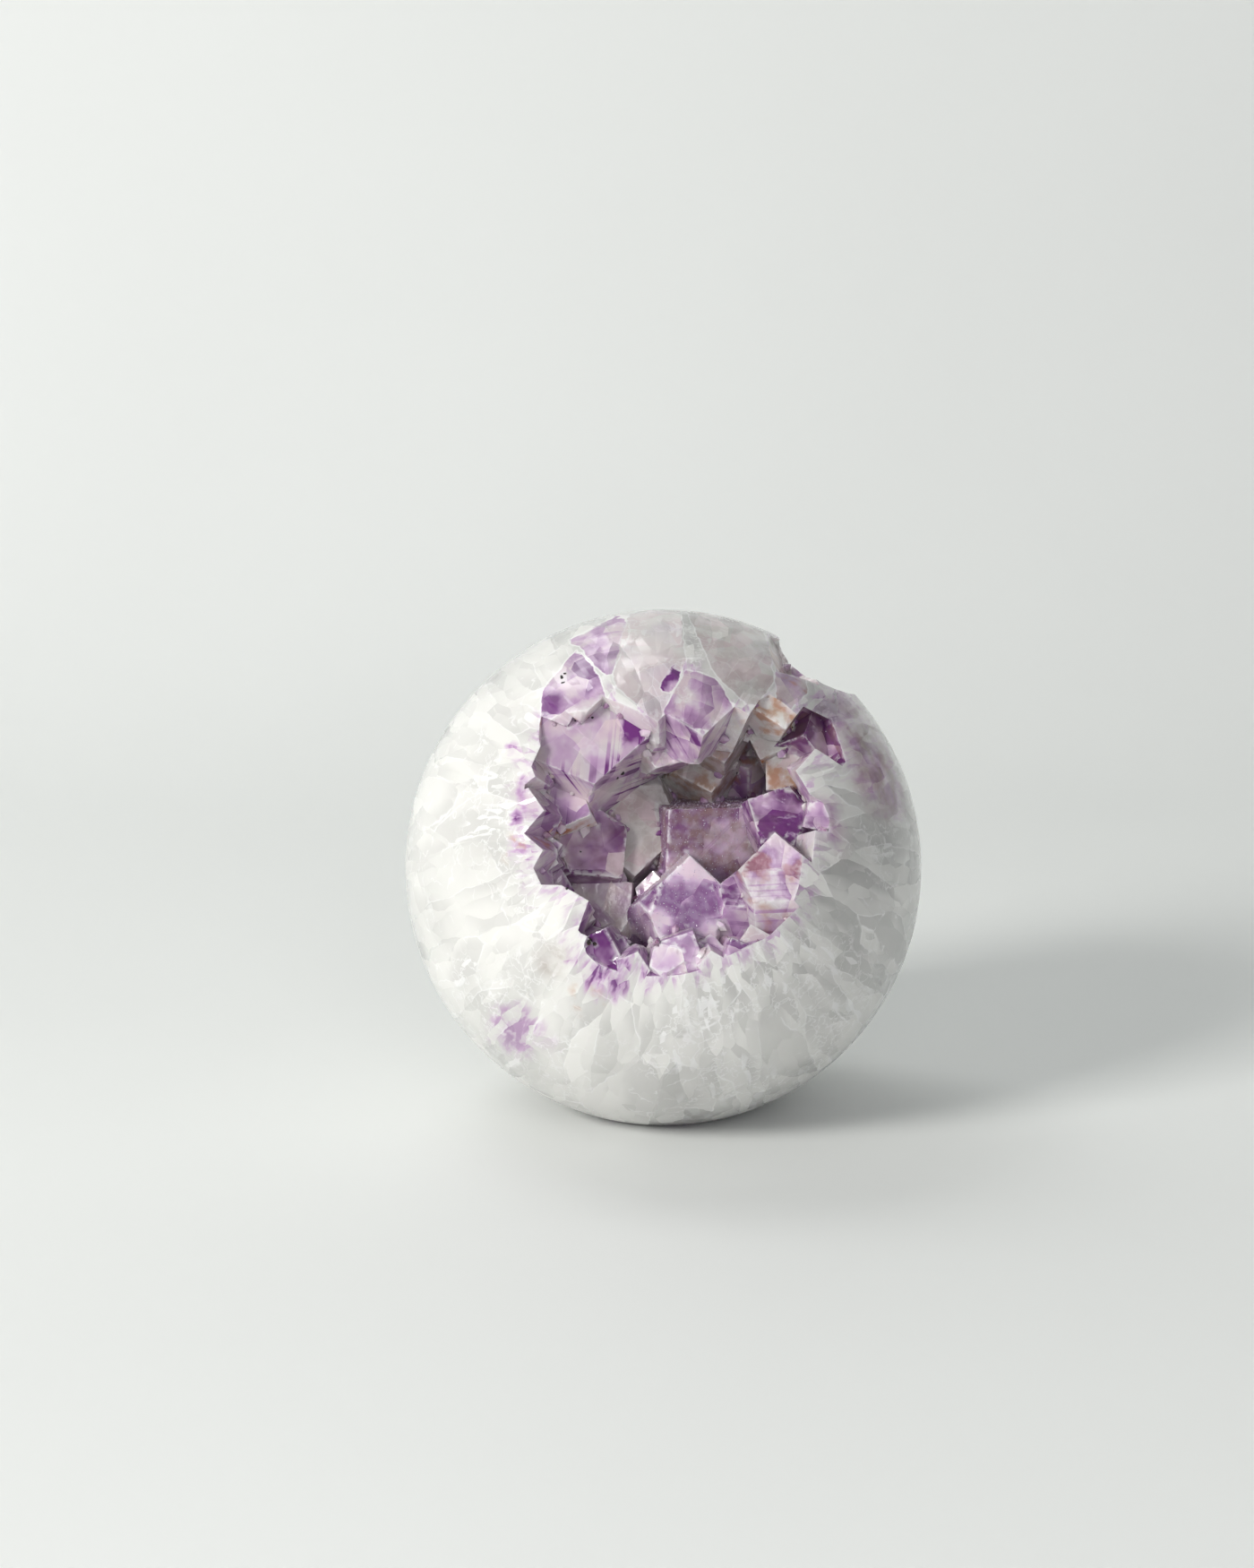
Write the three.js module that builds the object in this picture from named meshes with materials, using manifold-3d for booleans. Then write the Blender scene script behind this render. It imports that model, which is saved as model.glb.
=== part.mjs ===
// Amethyst geode ball: one stone of intergrown quartz, ground and polished to a ball,
// with an open hollow whose wall is lined with amethyst points.
//
// Millimetres, +Z up. The origin is the middle of the small flat foot that the ball stands on,
// and the open face looks along -Y.

import * as THREE from "three";
import { ConvexGeometry } from "three/addons/geometries/ConvexGeometry.js";
import { mergeVertices } from "three/addons/utils/BufferGeometryUtils.js";
import Module from "manifold-3d";

// Driving dimensions
const BALL_RADIUS = 45;
const BALL_DETAIL = 12; // subdivisions of the icosahedron that the ball is rounded from
const FOOT_RADIUS = 13;
const FACE_TILT_DEG = 11.5; // the open face looks this far above the horizon

// Hollow, as ellipsoids in the face frame: x to the right, y up the face, z out of the face,
// from the middle of the ball
const HOLLOWS = [
  { centre: [1.5, 8, 30], radii: [26.3, 26, 27] },
  { centre: [4, 24.4, 31], radii: [19, 9.8, 13] },
  { centre: [-8, 26, 36], radii: [14, 14, 13] },
  { centre: [-2, -12.5, 46], radii: [14.5, 5.4, 8] },
];
const HOLLOW_DETAIL = 3;

// The empty socket of a point, right of the hollow and open to it, described as a point is below
const SOCKET_BESIDE = { tip: [24, 20.5, 17], looks: [0.88, 0.06, -0.49], points: [-0.5, 0.08, -0.86], across: 15 };

// Quartz habit: how a point's faces lie to its long axis
const RHOMB_TILT_DEG = 51.8; // between the long axis and the way a rhomb face looks
const LESSER_SETBACK = 0.2; // how far the three lesser rhomb faces stand off the tip, of the width
const PRISM_UNEVENNESS = 0.16; // how far the prism faces stray from a true hexagon
const ROOT_LENGTH = 1.7; // a point's length, in widths
const LEAST_ROOT = 15;

// The points that show, in the face frame. tip: where the point ends. looks: the way its largest
// rhomb face looks. points: the way that face runs up to the tip. across: the point's width.
const POINTS = [
  // Top of the opening, from the left
  { tip: [-16.2, 23.9, 32], looks: [0, -0.1, 1], points: [0.35, -0.95, 0], across: 11 },
  { tip: [-1.1, 23.8, 33], looks: [-0.1, 0.3, 0.95], points: [1, -0.1, 0], across: 26, setback: 0.6 },
  { tip: [-10.2, 32.6, 29.4], looks: [-0.23, 0.72, 0.65], points: [0.4, -0.9, 0], across: 13 },
  { tip: [-1.2, 24.9, 37.6], looks: [-0.03, 0.55, 0.83], points: [0.15, -1, 0], across: 18 },
  { tip: [6.2, 22.4, 38.6], looks: [0.14, 0.5, 0.86], points: [0.05, -1, 0], across: 14, setback: 0.3 },
  { tip: [14, 26.2, 34.1], looks: [0.31, 0.58, 0.76], points: [0.1, -1, 0], across: 16 },
  { tip: [20, 29, 23], looks: [0.2, 0.35, 0.9], points: [0.5, -0.8, 0], across: 10 },
  { tip: [22, 25.4, 22], looks: [-0.4, 0.2, 0.9], points: [0.3, -0.9, 0.2], across: 9 },
  // Right side of the opening, downwards
  { tip: [23.3, 22.7, 28], looks: [0.75, 0.3, 0.6], points: [-1, -0.1, 0.6], across: 15 },
  { tip: [28.2, 27, 23.5], looks: [-0.72, 0.15, 0.68], points: [0.2, 1, 0], across: 18 },
  { tip: [25.9, 15.1, 33], looks: [0, 0.85, 0.5], points: [-1, 0.1, 0.5], across: 20 },
  { tip: [13.8, 12, 30], looks: [0.1, 0.2, 0.97], points: [-0.9, 0.5, 0.1], across: 12 },
  { tip: [18, 6.6, 38], looks: [-0.1, 0.1, 0.99], points: [-0.05, 1, 0], across: 14 },
  { tip: [25, 7, 37.8], looks: [0.3, 0.2, 0.93], points: [-0.6, 0.7, 0], across: 19 },
  // Middle of the hollow
  { tip: [0.7, 10.2, 27], looks: [0.2, -0.05, 0.98], points: [-0.7, 0.7, 0], across: 28, setback: 0.5 },
  { tip: [4.1, 2.7, 34], looks: [0.05, 0.05, 1], points: [0, 1, 0], across: 17 },
  { tip: [13, 1, 34], looks: [0.1, 0.2, 0.97], points: [0.1, 1, 0], across: 9 },
  { tip: [-2, 0, 27], looks: [-0.4, 0.1, 0.9], points: [0, 1, 0], across: 8 },
  // Left side and floor of the hollow
  { tip: [-7, -1.3, 28], looks: [0.25, 0.3, 0.92], points: [0.6, -0.75, 0], across: 15, setback: 0.5 },
  { tip: [-5.4, -2, 26.5], looks: [-0.1, 0.1, 0.99], points: [0.75, 0.6, 0], across: 15 },
  { tip: [-5, -1, 25.5], looks: [0.15, 0.3, 0.93], points: [0, -1, 0], across: 20, setback: 0.5 },
  { tip: [-12.3, 9.5, 31.5], looks: [-0.1, 0.3, 0.95], points: [0.9, -0.4, 0], across: 11 },
  { tip: [-15, -3.4, 30], looks: [0.2, 0.1, 0.97], points: [0.9, -0.2, 0], across: 12 },
  { tip: [-17, 4.5, 33], looks: [0.1, 0.3, 0.95], points: [0.9, 0.2, 0], across: 9 },
  // Back wall
  { tip: [4, 18.5, 29], looks: [0.1, 0.15, 0.98], points: [0.8, -0.5, 0], across: 9 },
  { tip: [-1, 17, 26], looks: [0.2, 0.2, 0.95], points: [0.3, -0.9, 0], across: 9 },
  { tip: [10, 18, 26], looks: [0, 0.3, 0.95], points: [0.2, -1, 0], across: 10 },
  { tip: [16, 18.6, 25], looks: [-0.2, 0.3, 0.93], points: [-0.3, -0.9, 0], across: 10 },
  { tip: [8, 13, 21], looks: [0, 0.4, 0.9], points: [0.2, -1, 0], across: 12 },
  { tip: [17, 13.5, 25], looks: [-0.2, 0.2, 0.96], points: [-0.6, -0.6, 0], across: 9 },
  // Rim on the left, cut by the polish, downwards
  { tip: [-21.6, 15.8, 36.4], looks: [-0.48, 0.35, 0.8], points: [1, -0.35, 0], across: 8 },
  { tip: [-20, 10.2, 39.1], looks: [-0.44, 0.23, 0.87], points: [1, -0.1, 0], across: 9 },
  { tip: [-20.2, 3.7, 40.2], looks: [-0.45, 0.08, 0.89], points: [1, 0.15, 0], across: 8 },
  { tip: [-21, -2.3, 39.8], looks: [-0.47, -0.05, 0.88], points: [1, -0.25, 0], across: 8 },
  { tip: [-14.7, -9.4, 41.6], looks: [-0.33, -0.2, 0.92], points: [1, 0.12, 0], across: 12 },
  // Ledges below that rim, downwards
  { tip: [-18.6, 15, 32], looks: [-0.1, 0.2, 0.97], points: [1, -0.2, 0], across: 12 },
  { tip: [-17.5, 8.6, 34], looks: [-0.1, 0.15, 0.98], points: [1, 0.1, 0], across: 12 },
  { tip: [-17.6, 1.4, 35.5], looks: [-0.1, 0.1, 0.98], points: [0.95, -0.2, 0], across: 12 },
  { tip: [-17, -4.5, 36], looks: [-0.1, 0.05, 0.98], points: [1, 0.3, 0], across: 12 },
  // Rim along the bottom, cut by the polish, from the left
  { tip: [-14, -9.5, 37], looks: [-0.2, 0.1, 0.97], points: [0.8, 0.6, 0], across: 15 },
  { tip: [-7, -10.5, 37.5], looks: [-0.1, 0.4, 0.9], points: [0.2, 1, 0], across: 14 },
  { tip: [0.5, -10.5, 38], looks: [0.05, 0.45, 0.9], points: [-0.1, 1, 0], across: 14 },
  { tip: [7.5, -10, 38], looks: [0.1, 0.4, 0.9], points: [0.1, 1, 0], across: 13 },
  { tip: [14, -8.5, 38], looks: [0.1, 0.35, 0.9], points: [-0.2, 1, 0], across: 14 },
  // Broken band below the opening, from the left
  { tip: [-9.8, -9, 40.6], looks: [-0.16, 0, 0.98], points: [0.35, 1, 0], across: 11 },
  { tip: [-1.8, -11.4, 41.6], looks: [0.1, 0.1, 1], points: [-0.6, 0.9, 0], across: 7 },
  { tip: [4.4, -9.5, 41.2], looks: [0.02, 0.02, 1], points: [0.45, 1, 0], across: 10 },
  { tip: [10.8, -10.6, 41], looks: [0.2, 0.1, 0.97], points: [-0.4, 0.9, 0], across: 6 },
  { tip: [-4.6, -12.9, 43], looks: [-0.1, -0.29, 0.95], points: [0.3, 1, 0], across: 6 },
  { tip: [7.4, -12.7, 42.6], looks: [0.16, -0.28, 0.95], points: [-0.2, 1, 0], across: 5.5 },
  { tip: [-13.2, -12.4, 41.3], looks: [-0.29, -0.28, 0.91], points: [0.8, 0.7, 0], across: 6 },
  // Broken edge above the socket beside the hollow
  { tip: [20.2, 23.6, 30.6], looks: [0.22, 0.33, 0.92], points: [0.15, -1, 0], across: 10 },
];

// Broken edge at the upper right: a long shallow break, and the socket of a point that came away
const BREAK = { centre: [30.1, 39.9, 2], radii: [10.5, 10.5, 30] };
const SOCKET = { tip: [22.5, 29.5, 18], looks: [-0.83, -0.5, -0.2], points: [0.5, -0.83, 0], across: 22 };

// Smaller points that fill the wall between them, for each of the two large hollows
const FILL_COUNTS = [60, 24];
const FILL_ACROSS = [7, 11];
const FILL_REACH = [3, 6]; // how far a tip stands off the wall
const FILL_WANDER = 0.28; // how far a filling point leans away from the middle of the hollow
const GOLDEN_TURN = Math.PI * (3 - Math.sqrt(5));

const wasm = await Module();
wasm.setup();

/** A closed geometry as a solid that can be joined and cut. */
function solidOf(geometry) {
  const bare = new THREE.BufferGeometry();
  bare.setAttribute("position", geometry.getAttribute("position"));
  if (geometry.index) bare.setIndex(geometry.index);
  const merged = mergeVertices(bare, 1e-4);
  return new wasm.Manifold(
    new wasm.Mesh({
      numProp: 3,
      vertProperties: new Float32Array(merged.getAttribute("position").array),
      triVerts: new Uint32Array(merged.index.array),
    }),
  );
}

/** A solid as a geometry with flat faces. */
function geometryOf(solid) {
  const mesh = solid.getMesh();
  const geometry = new THREE.BufferGeometry();
  geometry.setAttribute("position", new THREE.BufferAttribute(mesh.vertProperties, 3));
  geometry.setIndex(new THREE.BufferAttribute(mesh.triVerts, 1));
  geometry.computeVertexNormals();
  return geometry;
}

/** Even random numbers from 0 to 1, the same ones for the same seed. */
function randomFrom(seed) {
  let state = seed >>> 0;
  return () => {
    state = (state + 0x6d2b79f5) >>> 0;
    let mixed = Math.imul(state ^ (state >>> 15), 1 | state);
    mixed ^= mixed + Math.imul(mixed ^ (mixed >>> 7), 61 | mixed);
    return ((mixed ^ (mixed >>> 14)) >>> 0) / 2 ** 32;
  };
}

/** Every corner of the convex body that lies behind all of the planes. */
function cornersOf(planes) {
  const corners = [];
  const slack = 1e-6;
  planes.forEach((a, i) =>
    planes.slice(i + 1).forEach((b, j) =>
      planes.slice(i + j + 2).forEach((c) => {
        const across = new THREE.Vector3().crossVectors(b.normal, c.normal);
        const spread = a.normal.dot(across);
        if (Math.abs(spread) < slack) return;
        const corner = across
          .multiplyScalar(a.reach)
          .addScaledVector(new THREE.Vector3().crossVectors(c.normal, a.normal), b.reach)
          .addScaledVector(new THREE.Vector3().crossVectors(a.normal, b.normal), c.reach)
          .divideScalar(spread);
        if (planes.every((p) => p.normal.dot(corner) <= p.reach + slack)) corners.push(corner);
      }),
    ),
  );
  return corners;
}

/** One quartz point: six prism faces that end in three large and three lesser rhomb faces. */
function quartzPoint({ tip, looks, points, across, setback = LESSER_SETBACK }, random) {
  const tilt = THREE.MathUtils.degToRad(RHOMB_TILT_DEG);
  const face = new THREE.Vector3(...looks).normalize();
  const upFace = new THREE.Vector3(...points).projectOnPlane(face).normalize();
  const axis = face.clone().multiplyScalar(Math.cos(tilt)).addScaledVector(upFace, Math.sin(tilt));
  const facing = face.clone().projectOnPlane(axis).normalize();
  const aside = new THREE.Vector3().crossVectors(axis, facing);
  const length = Math.max(LEAST_ROOT, ROOT_LENGTH * across);
  const planes = [{ normal: axis.clone().negate(), reach: length }];
  for (let side = 0; side < 6; side += 1) {
    const turn = (side * Math.PI) / 3;
    const outward = facing.clone().multiplyScalar(Math.cos(turn)).addScaledVector(aside, Math.sin(turn));
    const rhomb = outward.clone().multiplyScalar(Math.sin(tilt)).addScaledVector(axis, Math.cos(tilt));
    const lesser = side % 2 === 1;
    const standOff = lesser ? across * setback * (0.5 + random()) : 0;
    const stray = 1 + PRISM_UNEVENNESS * (random() - 0.5);
    planes.push({ normal: rhomb, reach: standOff });
    planes.push({ normal: outward, reach: (across / 2) * stray });
  }
  const geometry = new ConvexGeometry(cornersOf(planes));
  geometry.translate(...tip);
  return solidOf(geometry);
}

/** An ellipsoid to cut away. */
function ellipsoidSolid({ centre, radii }) {
  const geometry = new THREE.IcosahedronGeometry(1, HOLLOW_DETAIL);
  geometry.scale(...radii);
  geometry.translate(...centre);
  return solidOf(geometry);
}

/** Whether a place lies within an ellipsoid of the hollow. */
function isWithin({ centre, radii }, place) {
  const offset = place.clone().sub(new THREE.Vector3(...centre));
  return offset.divide(new THREE.Vector3(...radii)).length() < 1;
}

/** Small points spread evenly over the wall of a hollow, each leaning its own way. */
function fillingPoints(hollow, count, random) {
  const { centre, radii } = hollow;
  const others = HOLLOWS.filter((other) => other !== hollow);
  const middle = new THREE.Vector3(...centre);
  const between = ([low, high]) => low + (high - low) * random();
  const points = [];
  for (let i = 0; i < count; i += 1) {
    const depth = 1 - (2 * (i + 0.5)) / count;
    const ring = Math.sqrt(1 - depth * depth);
    const turn = i * GOLDEN_TURN;
    const out = new THREE.Vector3(ring * Math.cos(turn), ring * Math.sin(turn), depth);
    const wall = out.clone().multiply(new THREE.Vector3(...radii)).add(middle);
    const lean = new THREE.Vector3(random() - 0.5, random() - 0.5, random() - 0.5);
    const inward = out.clone().negate().addScaledVector(lean, 2 * FILL_WANDER).normalize();
    const tip = wall.clone().addScaledVector(inward, between(FILL_REACH));
    const sideways = new THREE.Vector3(random() - 0.5, random() - 0.5, random() - 0.5);
    const across = between(FILL_ACROSS);
    if (wall.length() > BALL_RADIUS) continue;
    if (others.some((other) => isWithin(other, wall))) continue;
    points.push({ tip: tip.toArray(), looks: inward.toArray(), points: sideways.toArray(), across });
  }
  return points;
}

/** Everything below the flat foot, in the face frame, as a block to cut away. */
function footBlock(centreHeight, faceTilt) {
  const size = 2 * BALL_RADIUS;
  const geometry = new THREE.BoxGeometry(size, size, size);
  geometry.translate(0, 0, -size / 2 - centreHeight);
  geometry.rotateX(faceTilt - Math.PI / 2);
  return solidOf(geometry);
}

/** The stone without loose bits or the closed pockets left between the roots of the points. */
function largestBody(solid) {
  const bodies = solid.decompose();
  return bodies.reduce((largest, body) => (body.volume() > largest.volume() ? body : largest));
}

const faceTilt = THREE.MathUtils.degToRad(FACE_TILT_DEG);
const centreHeight = Math.sqrt(BALL_RADIUS ** 2 - FOOT_RADIUS ** 2);
const random = randomFrom(7);

const ball = solidOf(new THREE.IcosahedronGeometry(BALL_RADIUS, BALL_DETAIL));
const bowl = HOLLOWS.reduce((solid, hollow) => solid.subtract(ellipsoidSolid(hollow)), ball);
const shell = bowl.subtract(quartzPoint(SOCKET_BESIDE, randomFrom(3)));
const filling = FILL_COUNTS.flatMap((count, i) => fillingPoints(HOLLOWS[i], count, random));
const points = [...POINTS, ...filling].map((point) => quartzPoint(point, random));
const cluster = points.reduce((solid, point) => solid.add(point), shell);
const ground = cluster.intersect(ball).subtract(footBlock(centreHeight, faceTilt));
const broken = ground.subtract(ellipsoidSolid(BREAK)).subtract(quartzPoint(SOCKET, random));
const stone = largestBody(broken);

const quartz = new THREE.MeshStandardMaterial({ color: 0xcfc4d6, roughness: 0.15, metalness: 0 });
const geode = new THREE.Mesh(geometryOf(stone), quartz);
geode.name = "geode";
geode.rotation.x = Math.PI / 2 - faceTilt;
geode.position.z = centreHeight;

const amethystGeode = new THREE.Group();
amethystGeode.add(geode);

export default amethystGeode;
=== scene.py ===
"""Looks of an amethyst geode ball: polished milky quartz around an open hollow lined with amethyst points.

Metres, +Z up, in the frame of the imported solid. The hollow is described in the open face's own axes,
in millimetres from the middle of the ball: x to the right, y up the face, z out of the face.
"""

import logging
import math
from dataclasses import dataclass, field
from enum import Enum

import bmesh
import bpy
import numpy as np
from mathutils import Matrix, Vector, noise
from mathutils.kdtree import KDTree


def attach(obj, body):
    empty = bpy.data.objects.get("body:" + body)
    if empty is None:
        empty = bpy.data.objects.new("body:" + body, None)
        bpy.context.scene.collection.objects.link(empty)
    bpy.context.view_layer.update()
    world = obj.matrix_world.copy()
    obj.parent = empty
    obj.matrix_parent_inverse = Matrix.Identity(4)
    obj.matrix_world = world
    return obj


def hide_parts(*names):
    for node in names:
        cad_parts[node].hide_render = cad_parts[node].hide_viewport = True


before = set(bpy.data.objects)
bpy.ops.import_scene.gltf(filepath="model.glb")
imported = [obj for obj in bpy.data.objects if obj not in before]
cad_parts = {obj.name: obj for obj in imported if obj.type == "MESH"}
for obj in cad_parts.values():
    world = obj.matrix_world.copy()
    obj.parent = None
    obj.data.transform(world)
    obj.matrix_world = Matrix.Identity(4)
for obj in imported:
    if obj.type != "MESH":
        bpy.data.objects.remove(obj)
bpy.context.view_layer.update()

LOG = logging.getLogger("geode")
MM = 0.001
BODY = "root"
NODE = "geode"
SECTION_MARK = "section_"
MID_GREY = (0.5, 0.5, 0.5)

Triple = tuple[float, float, float]
Socket = bpy.types.NodeSocket
Feed = Socket | float | tuple


class Tone(Enum):
    """What colours the quartz from place to place, by the name of its mesh attribute."""

    VIOLET = "violet"
    SMOKE = "smoke"
    RUST = "rust"
    DUST = "dust"
    MILK = "milk"

    @property
    def place(self) -> int:
        """Its place in a row of tones."""
        return list(Tone).index(self)


class Mark(Enum):
    """The other mesh attributes that the quartz finish reads."""

    POLISH = "polish"
    # Where edges are painted pale: partly chipped wear, partly painted highlight
    RIDGE = "ridge"
    STRIPES = "stripes"
    FROM_TIP = "from_tip"
    COLUMN = "column"


class Cover(Enum):
    """The mesh attributes that say how thickly small things are strewn over the stone."""

    DRUSE = "druse_cover"
    GRAINS = "grain_cover"
    VEILS = "veil_cover"


@dataclass(frozen=True)
class FaceFrame:
    """The axes of the open face, which leans back from the upright."""

    ball_radius: float = 45.0
    foot_radius: float = 13.0
    tilt_deg: float = 11.5

    @property
    def centre(self) -> Vector:
        """The middle of the ball, in metres."""
        return Vector((0.0, 0.0, math.sqrt(self.ball_radius**2 - self.foot_radius**2) * MM))

    @property
    def axes(self) -> np.ndarray:
        """The face's own directions.

        Returns:
            Its x, y and z directions, one a row.
        """
        tilt = math.radians(self.tilt_deg)
        rows = ((1, 0, 0), (0, math.sin(tilt), math.cos(tilt)), (0, -math.cos(tilt), math.sin(tilt)))
        return np.array(rows, float)

    def to_face(self, places: np.ndarray) -> np.ndarray:
        """Face coordinates, in millimetres, of places in metres."""
        return (places - np.array(self.centre)) @ self.axes.T / MM

    def to_world(self, places: np.ndarray) -> np.ndarray:
        """Places in metres of face coordinates in millimetres."""
        return places @ self.axes * MM + np.array(self.centre)


FACE = FaceFrame()
HOLLOW_MIDDLE = np.array((2.0, 9.0, 22.0))


@dataclass(frozen=True)
class Tint:
    """How much of each tone a place holds, from 0 to 1, and how striped its violet is."""

    violet: float = 0.0
    smoke: float = 0.0
    rust: float = 0.0
    dust: float = 0.0
    milk: float = 0.0
    stripes: float = 0.3

    def row(self) -> np.ndarray:
        """The tones in the order of Tone."""
        return np.array([getattr(self, tone.value) for tone in Tone])


@dataclass(frozen=True)
class QuartzPoint:
    """One of the points that line the hollow.

    Args:
        tip: Where the point ends.
        looks: The way its largest rhomb face looks.
        runs: The way that face runs up to the tip.
        across: The point's width.
        tint: Its colours.
        bands: Where deep violet bands start and end, along the axis from the tip.
    """

    tip: Triple
    looks: Triple
    runs: Triple
    across: float
    tint: Tint
    bands: tuple[tuple[float, float], ...] = ()

    RHOMB_TILT_DEG = 51.8
    SIDES = 6
    # How alike two directions are when they are the same, and how far off its plane a face may lie
    ALIKE = 0.9998
    SLACK = 0.12
    # The furthest that a face lies from the tip, and from the tip's plane, in widths of the point
    FURTHEST = 2.0
    DEEPEST = 0.95

    def axis(self) -> np.ndarray:
        """Works out the long axis from the largest rhomb face.

        Returns:
            A unit vector towards the tip.
        """
        tilt = math.radians(self.RHOMB_TILT_DEG)
        face = np.array(Vector(self.looks).normalized())
        up_face = np.array(self.runs, float)
        up_face -= face * (up_face @ face)
        up_face /= np.linalg.norm(up_face)
        return face * math.cos(tilt) + up_face * math.sin(tilt)

    def face_ways(self) -> tuple[np.ndarray, np.ndarray]:
        """The ways that the rhomb faces and the prism faces look.

        Returns:
            Two arrays of six unit vectors.
        """
        tilt = math.radians(self.RHOMB_TILT_DEG)
        axis = self.axis()
        face = np.array(Vector(self.looks).normalized())
        facing = face - axis * (face @ axis)
        facing /= np.linalg.norm(facing)
        aside = np.cross(axis, facing)
        turns = [side * 2 * math.pi / self.SIDES for side in range(self.SIDES)]
        prism = np.array([facing * math.cos(turn) + aside * math.sin(turn) for turn in turns])
        return prism * math.sin(tilt) + axis * math.cos(tilt), prism

    def owns(self, middles: np.ndarray, normals: np.ndarray) -> np.ndarray:
        """Which flat faces lie on this point.

        Args:
            middles: The faces' middles, in the face frame.
            normals: The ways that they look, in the face frame.

        Returns:
            True for each face that does.
        """
        rhomb, prism = self.face_ways()
        offset = middles - np.array(self.tip)
        reach = np.einsum("ij,ij->i", offset, normals)
        half = self.across / 2
        on_rhomb = (normals @ rhomb.T).max(axis=1) > self.ALIKE
        on_rhomb &= reach < self.DEEPEST * self.across
        on_prism = (normals @ prism.T).max(axis=1) > self.ALIKE
        on_prism &= abs(reach - half) < self.SLACK * half
        near = np.linalg.norm(offset, axis=1) < self.FURTHEST * self.across
        return near & (on_rhomb | on_prism)


@dataclass(frozen=True)
class TintSpot:
    """A soft patch of colour in the polished surface, at x and y of the open face."""

    x: float
    y: float
    across: float
    tint: Tint


@dataclass(frozen=True)
class Section:
    """A quartz point that the polish has cut through.

    Args:
        outline: Its corners, at x and y of the open face, the same way round as a clock's hands.
        tint: Its colours.
        fade: How far inside the outline the colours are full.
        ends: How far out of the face, along z, it ends in a blunt point.
    """

    outline: tuple[tuple[float, float], ...]
    tint: Tint
    fade: float = 0.25
    ends: float = 6.0

    BLUNTNESS = 0.6
    CRISP_FADE = 1.0

    @property
    def crisp(self) -> bool:
        """Whether its outline shows as a line."""
        return self.fade < self.CRISP_FADE

    def inside(self, places: np.ndarray) -> np.ndarray:
        """How far inside the outline places lie, below 0 outside it.

        Args:
            places: Places in the face frame, one a row.

        Returns:
            A distance for each place.
        """
        flat = places[:, :2]
        nearest = np.full(len(flat), np.inf)
        within = np.zeros(len(flat), bool)
        corners = np.array(self.outline)
        for here, there in zip(corners, np.roll(corners, -1, axis=0)):
            side = there - here
            along = np.clip((flat - here) @ side / (side @ side), 0, 1)
            nearest = np.minimum(nearest, np.linalg.norm(flat - here - along[:, None] * side, axis=1))
            spans = (here[1] > flat[:, 1]) != (there[1] > flat[:, 1])
            rise = side[1] if side[1] else 1.0
            within ^= spans & (flat[:, 0] < here[0] + (flat[:, 1] - here[1]) * side[0] / rise)
        signed = np.where(within, nearest, -nearest)
        aside = abs(flat[:, 0] - corners[:, 0].mean())
        return np.minimum(signed, places[:, 2] - self.ends - self.BLUNTNESS * aside)


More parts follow.
